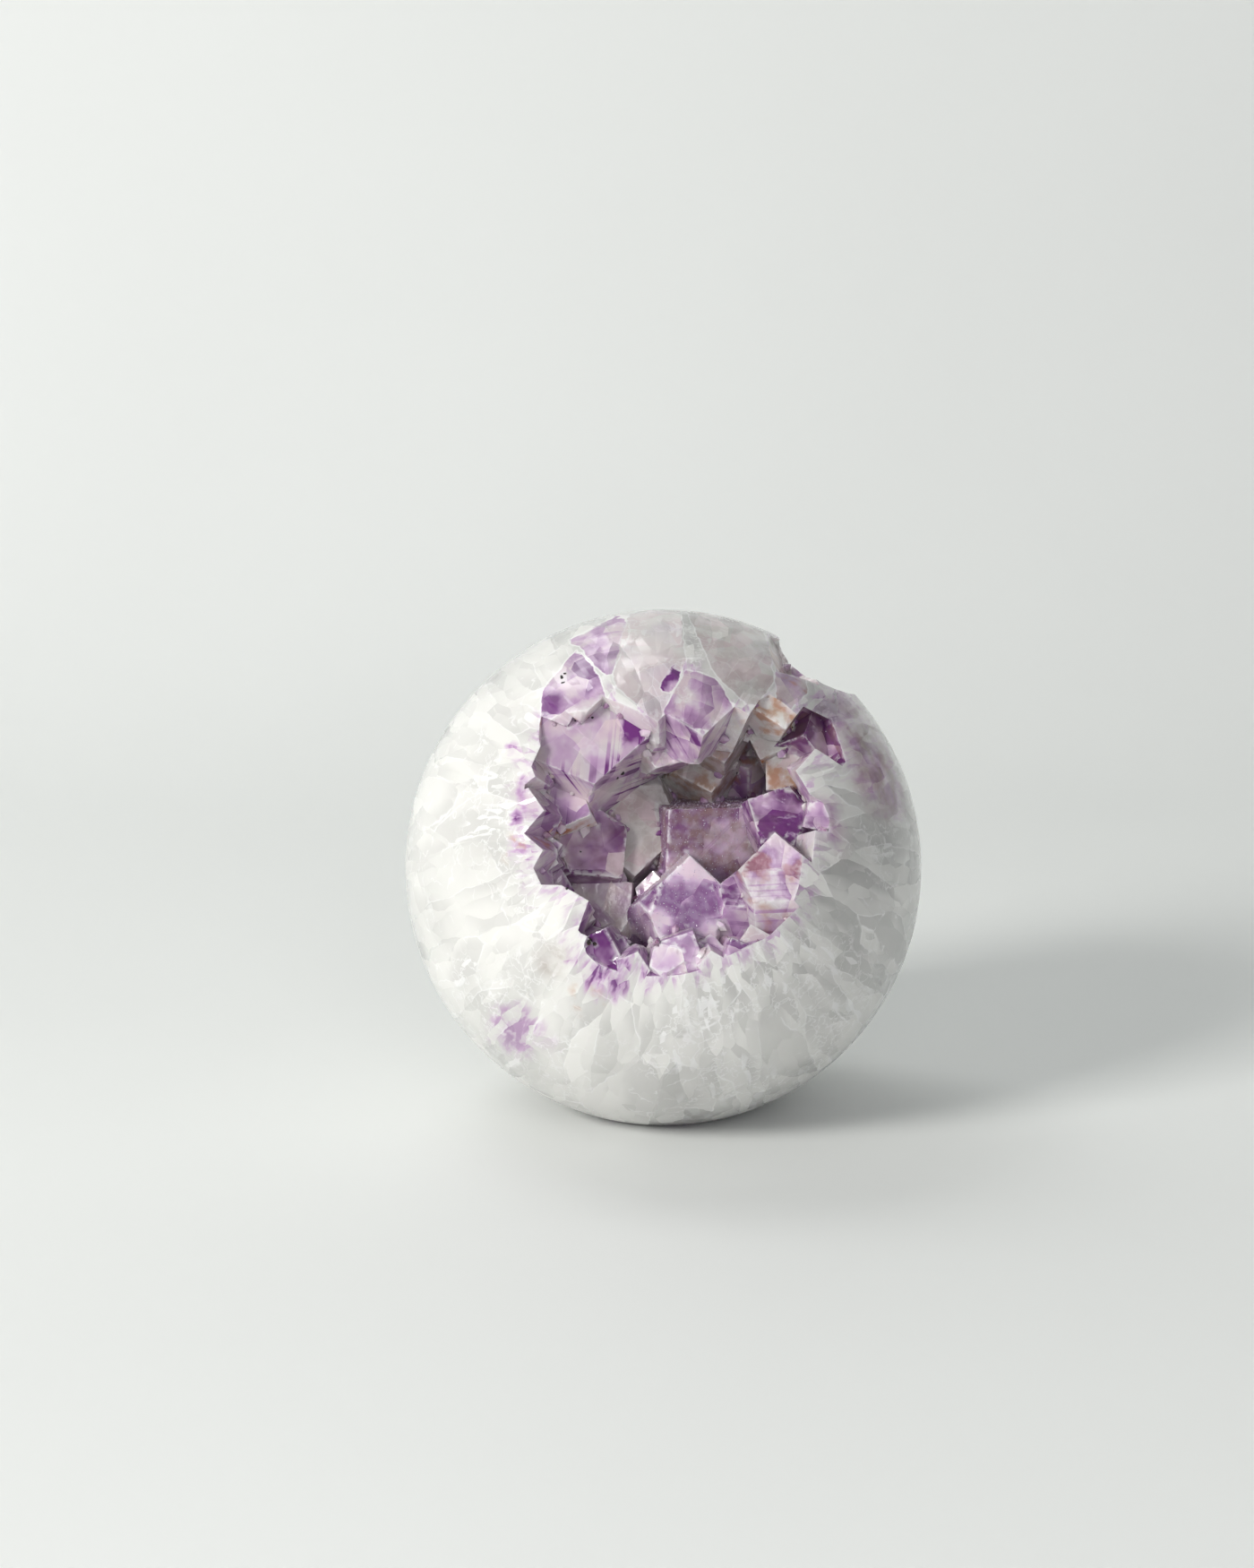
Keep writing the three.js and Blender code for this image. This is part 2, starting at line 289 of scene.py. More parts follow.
POINTS = (
    # Top of the opening, from the left
    QuartzPoint((-16.2, 23.9, 32), (0, -0.1, 1), (0.35, -0.95, 0), 11, Tint(violet=0.6, milk=0.2)),
    QuartzPoint(
        (-1.1, 23.8, 33), (-0.1, 0.3, 0.95), (1, -0.1, 0), 26,
        Tint(violet=0.33, smoke=0.08, stripes=1), bands=((1.9, 4.6),),
    ),
    QuartzPoint((-10.2, 32.6, 29.4), (-0.23, 0.72, 0.65), (0.4, -0.9, 0), 13, Tint(violet=0.3, milk=0.3)),
    QuartzPoint((-1.2, 24.9, 37.6), (-0.03, 0.55, 0.83), (0.15, -1, 0), 18, Tint(violet=0.2, milk=0.5)),
    QuartzPoint((6.2, 22.4, 38.6), (0.14, 0.5, 0.86), (0.05, -1, 0), 14, Tint(violet=0.35, milk=0.2)),
    QuartzPoint(
        (14, 26.2, 34.1), (0.31, 0.58, 0.76), (0.1, -1, 0), 16,
        Tint(violet=0.15, milk=0.35, rust=0.15),
    ),
    QuartzPoint((20, 29, 23), (0.2, 0.35, 0.9), (0.5, -0.8, 0), 10, Tint(violet=0.5, rust=0.4)),
    QuartzPoint(
        (22, 25.4, 22), (-0.4, 0.2, 0.9), (0.3, -0.9, 0.2), 9,
        Tint(smoke=0.5, rust=0.5, violet=0.2),
    ),
    # Right side of the opening, downwards
    # Its smoke is partly painted shade, on the side away from the light
    QuartzPoint((23.3, 22.7, 28), (0.75, 0.3, 0.6), (-1, -0.1, 0.6), 15, Tint(violet=0.85, smoke=0.4)),
    QuartzPoint(
        (28.2, 27, 23.5), (-0.72, 0.15, 0.68), (0.2, 1, 0), 18,
        Tint(violet=0.7, dust=0.3, smoke=0.35),
    ),
    QuartzPoint((25.9, 15.1, 33), (0, 0.85, 0.5), (-1, 0.1, 0.5), 20, Tint(violet=0.8, smoke=0.2)),
    QuartzPoint((13.8, 12, 30), (0.1, 0.2, 0.97), (-0.9, 0.5, 0.1), 12, Tint(violet=0.8, smoke=0.1)),
    QuartzPoint(
        (18, 6.6, 38), (-0.1, 0.1, 0.99), (-0.05, 1, 0), 14,
        Tint(violet=0.42, milk=0.2, rust=0.25),
    ),
    QuartzPoint((25, 7, 37.8), (0.3, 0.2, 0.93), (-0.6, 0.7, 0), 19, Tint(violet=0.12, milk=0.8)),
    # Middle of the hollow
    # Its smoke is partly painted shade, where less light falls in the hollow
    QuartzPoint(
        (0.7, 10.2, 27), (0.2, -0.05, 0.98), (-0.7, 0.7, 0), 28,
        Tint(violet=1.0, smoke=0.6, dust=1),
    ),
    QuartzPoint((4.1, 2.7, 34), (0.05, 0.05, 1), (0, 1, 0), 17, Tint(violet=0.62, smoke=0.15, dust=0.9)),
    QuartzPoint((13, 1, 34), (0.1, 0.2, 0.97), (0.1, 1, 0), 9, Tint(violet=0.6)),
    QuartzPoint((-2, 0, 27), (-0.4, 0.1, 0.9), (0, 1, 0), 8, Tint(violet=0.6, smoke=0.2)),
    # Left side and floor of the hollow
    QuartzPoint((-7, -1.3, 28), (0.25, 0.3, 0.92), (0.6, -0.75, 0), 15, Tint(violet=0.55, smoke=0.3)),
    QuartzPoint((-5.4, -2, 26.5), (-0.1, 0.1, 0.99), (0.75, 0.6, 0), 15, Tint(violet=0.22, smoke=0.25)),
    QuartzPoint((-5, -1, 25.5), (0.15, 0.3, 0.93), (0, -1, 0), 20, Tint(violet=0.12, smoke=0.42)),
    QuartzPoint(
        (-12.3, 9.5, 31.5), (-0.1, 0.3, 0.95), (0.9, -0.4, 0), 11,
        Tint(violet=0.1, milk=0.6, rust=0.6),
    ),
    QuartzPoint((-15, -3.4, 30), (0.2, 0.1, 0.97), (0.9, -0.2, 0), 12, Tint(violet=0.55, smoke=0.2)),
    QuartzPoint((-17, 4.5, 33), (0.1, 0.3, 0.95), (0.9, 0.2, 0), 9, Tint(violet=0.4, milk=0.3)),
    # Back wall
    QuartzPoint(
        (4, 18.5, 29), (0.1, 0.15, 0.98), (0.8, -0.5, 0), 9,
        Tint(violet=0.25, smoke=0.35, milk=0.3),
    ),
    QuartzPoint((-1, 17, 26), (0.2, 0.2, 0.95), (0.3, -0.9, 0), 9, Tint(violet=0.35, smoke=0.4)),
    QuartzPoint((10, 18, 26), (0, 0.3, 0.95), (0.2, -1, 0), 10, Tint(smoke=0.5, rust=0.2, violet=0.2)),
    QuartzPoint((16, 18.6, 25), (-0.2, 0.3, 0.93), (-0.3, -0.9, 0), 10, Tint(smoke=0.4, rust=0.6)),
    QuartzPoint((8, 13, 21), (0, 0.4, 0.9), (0.2, -1, 0), 12, Tint(smoke=0.6, milk=0.2, rust=0.2)),
    QuartzPoint((17, 13.5, 25), (-0.2, 0.2, 0.96), (-0.6, -0.6, 0), 9, Tint(smoke=0.4, rust=0.4)),
    # Rim on the left, cut by the polish, downwards
    QuartzPoint((-21.6, 15.8, 36.4), (-0.48, 0.35, 0.8), (1, -0.35, 0), 8, Tint(violet=0.45, milk=0.4)),
    QuartzPoint((-20, 10.2, 39.1), (-0.44, 0.23, 0.87), (1, -0.1, 0), 9, Tint(violet=0.5, milk=0.3)),
    QuartzPoint(
        (-20.2, 3.7, 40.2), (-0.45, 0.08, 0.89), (1, 0.15, 0), 8,
        Tint(violet=0.3, milk=0.4, rust=0.4),
    ),
    QuartzPoint((-21, -2.3, 39.8), (-0.47, -0.05, 0.88), (1, -0.25, 0), 8, Tint(violet=0.35, milk=0.5)),
    QuartzPoint((-14.7, -9.4, 41.6), (-0.33, -0.2, 0.92), (1, 0.12, 0), 12, Tint(violet=0.2, milk=0.7)),
    # Ledges below that rim, downwards
    QuartzPoint((-18.6, 15, 32), (-0.1, 0.2, 0.97), (1, -0.2, 0), 12, Tint(violet=0.35, milk=0.4)),
    QuartzPoint(
        (-17.5, 8.6, 34), (-0.1, 0.15, 0.98), (1, 0.1, 0), 12,
        Tint(violet=0.25, milk=0.5, rust=0.4),
    ),
    QuartzPoint((-17.6, 1.4, 35.5), (-0.1, 0.1, 0.98), (0.95, -0.2, 0), 12, Tint(violet=0.5, milk=0.2)),
    QuartzPoint((-17, -4.5, 36), (-0.1, 0.05, 0.98), (1, 0.3, 0), 12, Tint(violet=0.5, milk=0.2)),
    # Rim along the bottom, cut by the polish, from the left
    QuartzPoint((-14, -9.5, 37), (-0.2, 0.1, 0.97), (0.8, 0.6, 0), 15, Tint(violet=0.5, milk=0.3)),
    QuartzPoint((-7, -10.5, 37.5), (-0.1, 0.4, 0.9), (0.2, 1, 0), 14, Tint(violet=0.6, milk=0.2)),
    QuartzPoint((0.5, -10.5, 38), (0.05, 0.45, 0.9), (-0.1, 1, 0), 14, Tint(violet=0.5, milk=0.3)),
    QuartzPoint((7.5, -10, 38), (0.1, 0.4, 0.9), (0.1, 1, 0), 13, Tint(violet=0.5, milk=0.3)),
    QuartzPoint((14, -8.5, 38), (0.1, 0.35, 0.9), (-0.2, 1, 0), 14, Tint(violet=0.35, milk=0.5)),
    # Broken band below the opening, from the left
    QuartzPoint((-9.8, -9, 40.6), (-0.16, 0, 0.98), (0.35, 1, 0), 11, Tint(violet=0.7)),
    QuartzPoint((-1.8, -11.4, 41.6), (0.1, 0.1, 1), (-0.6, 0.9, 0), 7, Tint(violet=0.25, milk=0.6)),
    QuartzPoint((4.4, -9.5, 41.2), (0.02, 0.02, 1), (0.45, 1, 0), 10, Tint(violet=0.4, milk=0.3)),
    QuartzPoint((10.8, -10.6, 41), (0.2, 0.1, 0.97), (-0.4, 0.9, 0), 6, Tint(violet=0.5, milk=0.2)),
    QuartzPoint((-4.6, -12.9, 43), (-0.1, -0.29, 0.95), (0.3, 1, 0), 6, Tint(violet=0.5, milk=0.3)),
    QuartzPoint((7.4, -12.7, 42.6), (0.16, -0.28, 0.95), (-0.2, 1, 0), 5.5, Tint(violet=0.3, milk=0.5)),
    QuartzPoint((-13.2, -12.4, 41.3), (-0.29, -0.28, 0.91), (0.8, 0.7, 0), 6, Tint(violet=0.5, milk=0.3)),
    # Broken edge above the socket beside the hollow
    QuartzPoint(
        (20.2, 23.6, 30.6), (0.22, 0.33, 0.92), (0.15, -1, 0), 10,
        Tint(smoke=0.2, rust=0.4, milk=0.3),
    ),
)

SECTIONS = (
    # Above the opening, from the left
    Section(
        ((-20.5, 30.5), (-14.9, 37.5), (-11.2, 33.2), (-9, 27), (-15, 24), (-21, 23)),
        Tint(violet=0.55, milk=0.1),
    ),
    Section(
        ((-16.9, 38.7), (-7.3, 44), (-5.7, 40.7), (-9.2, 32), (-11.0, 33.4), (-14.6, 37.8)),
        Tint(violet=0.45, milk=0.15),
    ),
    Section(
        ((-6.1, 44), (2.9, 46), (3.5, 34.8), (-1.1, 24), (-9.0, 31.5)),
        Tint(violet=0.14, milk=0.25, smoke=0.05), ends=-2,
    ),
    Section(
        ((3.3, 46), (15.5, 45), (18.1, 37.9), (18.4, 31.3), (14.2, 26.8), (8, 33)),
        Tint(smoke=0.26, violet=0.1), ends=0,
    ),
    Section(
        ((3.5, 33.8), (8.9, 32), (11.6, 26.3), (8.8, 23), (2, 24), (-0.7, 26.2)),
        Tint(violet=0.42, smoke=0.1),
    ),
    Section(
        ((18.7, 38.5), (24, 37), (24, 29.7), (19.3, 24.9), (18.4, 31.3)),
        Tint(violet=0.4, rust=0.3, smoke=0.2), ends=18,
    ),
    Section(((-1.0, 30.4), (0.9, 34), (2.9, 35.4), (2.6, 31.6), (0.2, 28.6)), Tint(violet=0.9)),
    # Right and left of the opening
    # Its smoke is partly painted shade, on the side away from the light
    Section(
        ((25, 32), (34, 32), (40, 25), (45, 14), (42, 5), (34, 7), (29, 14), (27, 24)),
        Tint(violet=0.6, smoke=0.55), 7,
    ),
    Section(((20, 15), (30, 14.2), (33, 8), (31, -1), (26, 1), (20, 7)), Tint(violet=0.42, smoke=0.2), 7),
    Section(((-25.3, 17.5), (-19, 16.5), (-18, 7.5), (-24.4, 7.7), (-26, 13)), Tint(violet=0.6), 2.5),
)


SPOTS = (
    # Above and right of the opening
    TintSpot(29, 27, 9, Tint(violet=0.9, smoke=0.3)),
    # Below the opening
    TintSpot(-14.8, -13.1, 5, Tint(violet=0.5)),
    TintSpot(-9.5, -16.4, 10, Tint(violet=0.75)),
    TintSpot(-2.5, -17.6, 5, Tint(violet=0.55)),
    TintSpot(4.3, -14.4, 6, Tint(violet=0.35)),
    TintSpot(11.2, -12.4, 6, Tint(violet=0.35)),
    TintSpot(-18.9, -14.4, 6, Tint(smoke=0.4)),
    TintSpot(-13.3, -20.7, 5, Tint(rust=0.45)),
    TintSpot(-25.1, -26.9, 11, Tint(violet=0.4)),
    TintSpot(-20.7, -29, 8, Tint(violet=0.25)),
    # Left of the opening
    TintSpot(-24.7, 8.2, 2.6, Tint(violet=1.0)),
    TintSpot(-23.3, 2.6, 6, Tint(violet=0.4)),
    TintSpot(-24.8, 4, 3.6, Tint(rust=0.8)),
    TintSpot(-25.4, 20.3, 2.4, Tint(violet=0.9)),
    TintSpot(-21.5, 12.5, 4, Tint(rust=0.35)),
)

# Black iron-oxide specks, at x and y of the open face, with their widths
SPECKS = (
    (-17.3, 32.4, 0.9), (-16.7, 33.0, 0.6), (-17.0, 31.5, 0.7), (-12.8, 25.5, 0.5), (-12.1, 25.5, 0.5),
    (-15.0, 25.0, 0.4), (-7.1, 16.3, 0.9), (-7.9, 15.5, 0.6), (-12.5, -11.3, 1.1), (-11.6, -11.8, 0.8),
    (-16.2, -2.6, 0.5), (-14.1, 3.2, 0.4), (21.5, 24.0, 0.4), (12.4, 16.4, 0.5),
)


@dataclass(frozen=True)
class Facets:
    """The sockets of a pattern of cells.

    Args:
        shade: A number from 0 to 1 for each cell.
        depth: Another one.
        tilt: A vector for each cell.
        slope: A number that runs across each cell, about 0.5 in its middle.
    """

    shade: Socket
    depth: Socket
    tilt: Socket
    slope: Socket


class NodeGraph:
    """A node tree, made by short calls."""

    tree: bpy.types.NodeTree

    def add(self, kind: str, feeds: dict | None = None, **settings: object) -> bpy.types.Node:
        """Adds a node.

        Args:
            kind: The node's type.
            feeds: What goes into its inputs, by name or number: a socket to link, or a plain value.
            settings: Its properties.

        Returns:
            The node.
        """
        node = self.tree.nodes.new(kind)
        for name, value in settings.items():
            setattr(node, name, value)
        for key, value in (feeds or {}).items():
            if isinstance(value, bpy.types.NodeSocket):
                self.tree.links.new(value, node.inputs[key])
            else:
                node.inputs[key].default_value = value
        return node


class ShaderGraph(NodeGraph):
    """A material's nodes."""

    # How fast a facet's slope runs across it
    STEEPNESS = 2.5

    def __init__(self, name: str) -> None:
        """Starts an empty material.

        Args:
            name: The material's name.
        """
        self.material = bpy.data.materials.new(name)
        self.material.use_nodes = True
        self.tree = self.material.node_tree
        self.tree.nodes.clear()
        self.where = self.add("ShaderNodeTexCoord").outputs["Object"]

    def mark(self, name: str) -> Socket:
        """The number that a mesh attribute holds."""
        return self.add("ShaderNodeAttribute", attribute_name=name).outputs["Fac"]

    def way(self, name: str) -> Socket:
        """The vector that a mesh attribute holds."""
        return self.add("ShaderNodeAttribute", attribute_name=name).outputs["Vector"]

    def sum(self, operation: str, a: Feed, b: Feed = 0.0, clamp: bool = False) -> Socket:
        """One step of arithmetic on numbers."""
        return self.add("ShaderNodeMath", {0: a, 1: b}, operation=operation, use_clamp=clamp).outputs[0]

    def times(self, *values: Feed) -> Socket:
        """Multiplies numbers together.

        Args:
            values: Two or more sockets or plain numbers.

        Returns:
            Their product.
        """
        product = values[0]
        for value in values[1:]:
            product = self.sum("MULTIPLY", product, value)
        return product

    def weighted(self, *terms: tuple[Feed, float]) -> Socket:
        """Adds numbers together, each times its weight.

        Args:
            terms: Sockets with their weights.

        Returns:
            The sum.
        """
        total = self.times(*terms[0])
        for term in terms[1:]:
            total = self.sum("ADD", total, self.times(*term))
        return total

    def rest(self, value: Feed) -> Socket:
        """What is left of 1."""
        return self.sum("SUBTRACT", 1.0, value)

    def vector(self, operation: str, a: Feed, b: Feed = (0, 0, 0)) -> Socket:
        """One step of arithmetic on vectors."""
        return self.add("ShaderNodeVectorMath", {0: a, 1: b}, operation=operation).outputs[0]

    def scaled(self, a: Feed, size: Feed) -> Socket:
        """A vector made longer or shorter."""
        return self.add("ShaderNodeVectorMath", {0: a, "Scale": size}, operation="SCALE").outputs[0]

    def blend(self, share: Feed, under: Feed, over: Feed) -> Socket:
        """Lays one colour over another.

        Args:
            share: How much of the upper colour shows.
            under: The lower colour, a socket or a triple.
            over: The upper colour, a socket or a triple.

        Returns:
            The colour.
        """
        feeds = {0: share}
        for place, colour in ((6, under), (7, over)):
            feeds[place] = colour if isinstance(colour, Socket) else (*colour, 1.0)
        return self.add("ShaderNodeMix", feeds, data_type="RGBA").outputs[2]

    def between(self, share: Feed, under: Feed, over: Feed) -> Socket:
        """A number between two others."""
        return self.add("ShaderNodeMix", {0: share, 2: under, 3: over}, data_type="FLOAT").outputs[0]

    def rise(self, value: Feed, low: float, high: float, to: tuple = (0.0, 1.0)) -> Socket:
        """A smooth step of a value from low to high."""
        feeds = {"Value": value, 1: low, 2: high, 3: to[0], 4: to[1]}
        return self.add("ShaderNodeMapRange", feeds, interpolation_type="SMOOTHSTEP").outputs[0]

    def noise(self, scale: float, detail: float = 2.0, where: Feed | None = None) -> Socket:
        """Cloudy noise, mostly from 0.25 to 0.75."""
        feeds = {"Vector": where or self.where, "Scale": scale, "Detail": detail}
        return self.add("ShaderNodeTexNoise", feeds).outputs["Fac"]

    def drift(self, scale: float, size: float) -> Socket:
        """Makes a cloudy vector, to push a pattern out of true.

        Args:
            scale: The scale of the clouds.
            size: How far they push.

        Returns:
            The vector.
        """
        feeds = {"Vector": self.where, "Scale": scale, "Detail": 3.0}
        colour = self.add("ShaderNodeTexNoise", feeds).outputs["Color"]
        return self.scaled(self.vector("SUBTRACT", colour, MID_GREY), size)

    def cells(self, where: Feed, scale: float, feature: str = "F1") -> bpy.types.Node:
        """Cells with straight sides."""
        return self.add("ShaderNodeTexVoronoi", {"Vector": where, "Scale": scale}, feature=feature)

    def facets(self, where: Feed, scale: float) -> Facets:
        """Cells with straight sides, each with a shade, a tilt and a slope of its own.

        Args:
            where: The place that the cells are laid out by.
            scale: How many there are along a unit.

        Returns:
            The cells' sockets.
        """
        cells = self.cells(where, scale).outputs
        shades = self.add("ShaderNodeSeparateColor", {0: cells["Color"]}).outputs
        tilt = self.vector("SUBTRACT", cells["Color"], MID_GREY)
        offset = self.vector("SUBTRACT", where, cells["Position"])
        dot = self.add("ShaderNodeVectorMath", {0: offset, 1: tilt}, operation="DOT_PRODUCT")
        along = dot.outputs["Value"]
        slope = self.sum("ADD", self.times(along, self.STEEPNESS * scale), 0.5)
        return Facets(shades[0], shades[1], tilt, slope)

    def crack(self, cloud: Socket, width: float) -> Socket:
        """A thin curved line along the middle level of a noise."""
        return self.rise(self.sum("ABSOLUTE", self.sum("SUBTRACT", cloud, 0.5)), width, 0.0)


@dataclass(frozen=True)
class QuartzFinish:
    """Clear to milk-white quartz that is amethyst towards the hollow, polished outside and natural within."""

    milk: Triple = (0.82, 0.815, 0.785)
    clear: Triple = (0.56, 0.555, 0.54)
    # Pale of seams, outlines and cracks; the same pale also paints the glints on flakes and the highlights
    # along ridges
    seam: Triple = (0.93, 0.93, 0.92)
    lilac: Triple = (0.61, 0.41, 0.625)
    violet: Triple = (0.18, 0.036, 0.22)
    blush: Triple = (0.80, 0.67, 0.70)
    # Smoky brown; in deep and shaded places it also paints shade
    smoke: Triple = (0.27, 0.175, 0.135)
    rust: Triple = (0.50, 0.19, 0.04)
    dust: Triple = (0.60, 0.57, 0.68)
    absorbed: Triple = (0.82, 0.70, 0.85)
    absorption: float = 9.0
    ior: float = 1.544
    milk_depth: float = 1.1 * MM
    milk_share: float = 0.6
    coat: float = 0.4
    coat_roughness: float = 0.03

    def material(self) -> bpy.types.Material:
        """The finish as a node material."""
        return QuartzGraph(self).material


class QuartzGraph(ShaderGraph):
    """The nodes of the quartz finish. A span is where a pattern starts and where it is full."""

    # Scales of the shared noises, and of the cells along the columns and in the facets
    CLOUDS = {"broad": 60, "mid": 150, "small": 340, "fine": 800}
    COLUMNS = 6.0
    SPLINTERS = 15.0
    # Flakes painted bright on one side as glints
    GLINT_FLAKES = 30.0
    CHIPS = 170.0
    COLUMN_DRIFT = (140, 0.045)
    CHIP_DRIFT = (400, 0.7 * MM)

    # Points that the polish cuts through
    RAGGED = 1.2
    OUTLINE_WIDTH = 0.22
    CUT_SHARE = 0.85

    # Milky and clear quartz
    THIN_SPAN = (0.66, 1.24)
    PINK_SPAN = (0.2, 0.8)
    CLEAR_SPAN = (0.45, 1.1, (0.1, 0.36))

    # Lines inside it, and flakes painted bright as glints
    SEAM_WIDTH = 0.02
    SEAM_SPAN = (0.45, 0.6)
    GLINT_SPAN = (0.80, 0.84)
    GLINT_SLOPE = (0.35, 0.65)
    JOINT_WIDTH = 0.03
    JOINT_SPAN = (0.48, 0.58)
    CURVE_WIDTH = 0.020
    CURVE_SPAN = (0.48, 0.6)
    HAIR_WIDTH = 0.026
    HAIR_SPAN = (0.46, 0.58)

    # Tones
    BANDS = {"Scale": 0.5, "Detail": 4.0, "Roughness": 0.6}
    BAND_SPAN = (0.52, 0.62)
    DASH_SPAN = (0.40, 0.58)
    WITHIN_SPAN = (0.40, 0.76, (0.35, 1.6))
    STREAKS = 34
    STREAK_SPAN = (0.40, 0.60)
    PATCH_SPAN = (0.3, 1.0, (0.55, 1.5))
    LILAC_SPAN = (0.05, 0.5)
    VIOLET_SPAN = (0.3, 1.0)
    STRIPED_SPAN = (0.0, 0.3)
    HAZE_SPAN = (0.32, 0.68, (0.3, 1.25))
    BLOT_SPAN = (0.96, 1.18, (0.0, 1.5))

    # Surface
    # The pale ridges are partly wear and partly painted edge highlight
    EDGE_WEAR_AND_HIGHLIGHT_SPAN = (0.38, 0.56)
    FROST_SPAN = (0.40, 0.64)
    ROUGHNESS_SPAN = (0.35, 0.7, (0.07, 0.2))
    COLUMN_LEAN = 0.24
    FACET_LEAN = 0.07
    HILLOCK_HEIGHT = 0.5 * MM

    def __init__(self, finish: QuartzFinish) -> None:
        """Builds the material.

        Args:
            finish: Its colours and depths.
        """
        super().__init__("quartz")
        self.finish = finish
        self.polish = self.mark(Mark.POLISH.value)
        self.natural = self.rest(self.polish)
        self.clouds = {name: self.noise(scale, 3) for name, scale in self.CLOUDS.items()}
        self.tones = {tone: self.mark(tone.value) for tone in Tone}
        self.seams, cut = self._lay_sections()
        self.inner = self.sum("MAXIMUM", self.natural, self.times(cut, self.CUT_SHARE))
        self.column = self.vector("ADD", self.way(Mark.COLUMN.value), self.drift(*self.COLUMN_DRIFT))
        self.chips = self.vector("ADD", self.where, self.drift(*self.CHIP_DRIFT))
        self.cell = self.facets(self.column, self.COLUMNS)
        self.splinter = self.facets(self.column, self.SPLINTERS)
        self.chip = self.facets(self.chips, self.CHIPS)
        uneven = self.rise(self.clouds["small"], *self.ROUGHNESS_SPAN)
        roughness = self.sum("ADD", uneven, self.times(self.tones[Tone.DUST], 0.25))
        feeds = {
            "Base Color": self._worn_edges_and_highlights(self._tinted(self._lined(self._body()))),
            "Roughness": roughness,
            "IOR": finish.ior,
            "Normal": self._normal(),
            "Subsurface Weight": finish.milk_share,
            "Subsurface Radius": (1.0, 0.92, 1.0),
            "Subsurface Scale": finish.milk_depth,
            "Transmission Weight": self._clearness(),
            "Coat Weight": self.times(self.polish, finish.coat),
            "Coat Roughness": finish.coat_roughness,
            "Coat IOR": finish.ior,
        }
        shader = self.add("ShaderNodeBsdfPrincipled", feeds)
        feeds = {"Color": (*finish.absorbed, 1.0), "Density": finish.absorption}
        inside = self.add("ShaderNodeVolumeAbsorption", feeds)
        self.add("ShaderNodeOutputMaterial", {"Surface": shader.outputs[0], "Volume": inside.outputs[0]})

    def _lay_sections(self) -> tuple[Socket, Socket]:
        """Lays the tones of the points that the polish cuts through over the others.

        Returns:
            A socket that is 1 on the crisp outlines, and one that is 1 inside the outlines.
        """
        ragged = self.times(self.sum("SUBTRACT", self.clouds["small"], 0.5), self.RAGGED)
        seams, cut = 0.0, 0.0
        for number, section in enumerate(SECTIONS):
            inside = self.sum("ADD", self.mark(f"{SECTION_MARK}{number}"), ragged)
            share = self.times(self.rise(inside, 0.0, section.fade), self.polish)
            for tone in (Tone.VIOLET, Tone.SMOKE, Tone.RUST, Tone.MILK):
                over = getattr(section.tint, tone.value)
                if section.crisp:
                    self.tones[tone] = self.between(share, self.tones[tone], over)
                elif over:
                    self.tones[tone] = self.sum("MAXIMUM", self.tones[tone], self.times(share, over))
            if section.crisp:
                line = self.rise(self.sum("ABSOLUTE", inside), self.OUTLINE_WIDTH, 0.0)
                seams = self.sum("MAXIMUM", seams, self.times(line, self.polish))
            cut = self.sum("MAXIMUM", cut, share)
        return seams, cut

    def _body(self) -> Socket:
        """Makes the quartz without its tones: milk-white and clear columns outside, pale pink facets within.

        Returns:
            The colour.
        """
        finish = self.finish
        milk_and_painted_light = self.tones[Tone.MILK]
        level = self.weighted(
            (self.cell.slope, 0.6),
            (self.cell.shade, 0.12),
            (self.splinter.slope, 0.4),
            (self.splinter.shade, 0.08),
            (self.clouds["broad"], 0.7),
        )
        thin = self.times(self.rise(level, *self.THIN_SPAN), self.rest(self.times(milk_and_painted_light, 0.75)))
        ground = self.blend(thin, finish.milk, finish.clear)
        facing = self.weighted((self.chip.slope, 0.6), (self.chip.shade, 0.4))
        pink = self.blend(self.rise(facing, *self.PINK_SPAN), finish.blush, finish.milk)
        return self.blend(self.times(self.inner, self.rest(self.times(milk_and_painted_light, 0.6))), ground, pink)

    def _lined(self, body: Socket) -> Socket:
        """Adds what shows inside: seams between columns, outlines of cut points, flakes painted bright on one
        side as glints, and cracks.

        Args:
            body: The colour so far.

        Returns:
            The colour with them.
        """
        pale = self.finish.seam
        clouds = self.clouds
        edge = self.cells(self.column, self.COLUMNS, "DISTANCE_TO_EDGE").outputs["Distance"]
        open_seam = self.rise(clouds["mid"], *self.SEAM_SPAN)
        seam = self.times(self.rise(edge, self.SEAM_WIDTH, 0.0), open_seam, self.polish, 0.8)
        outlined = self.blend(self.times(self.seams, 0.85), self.blend(seam, body, pale), pale)
        glint_flake = self.facets(self.column, self.GLINT_FLAKES)
        # Painted glints: each flake bright on one side, as if catching the light
        lit = self.rise(glint_flake.slope, *self.GLINT_SLOPE)
        bright = self.times(self.rise(glint_flake.depth, *self.GLINT_SPAN), lit)
        painted_glint = self.times(bright, self.rise(clouds["broad"], *self.HAIR_SPAN), self.polish, 0.8)
        with_glints = self.blend(painted_glint, outlined, pale)
        joint = self.cells(self.chips, self.CHIPS, "DISTANCE_TO_EDGE").outputs["Distance"]
        open_joint = self.rise(clouds["mid"], *self.JOINT_SPAN)
        crack = self.times(self.rise(joint, self.JOINT_WIDTH, 0.0), open_joint, self.inner)
        curve = self.crack(clouds["mid"], self.CURVE_WIDTH)
        curve = self.times(curve, self.rise(clouds["small"], *self.CURVE_SPAN))
        hair = self.crack(clouds["small"], self.HAIR_WIDTH)
        hair = self.times(hair, self.rise(clouds["broad"], *self.HAIR_SPAN))
        lines = self.sum("MAXIMUM", crack, self.sum("MAXIMUM", curve, hair))
        return self.blend(self.times(lines, 0.7), with_glints, pale)

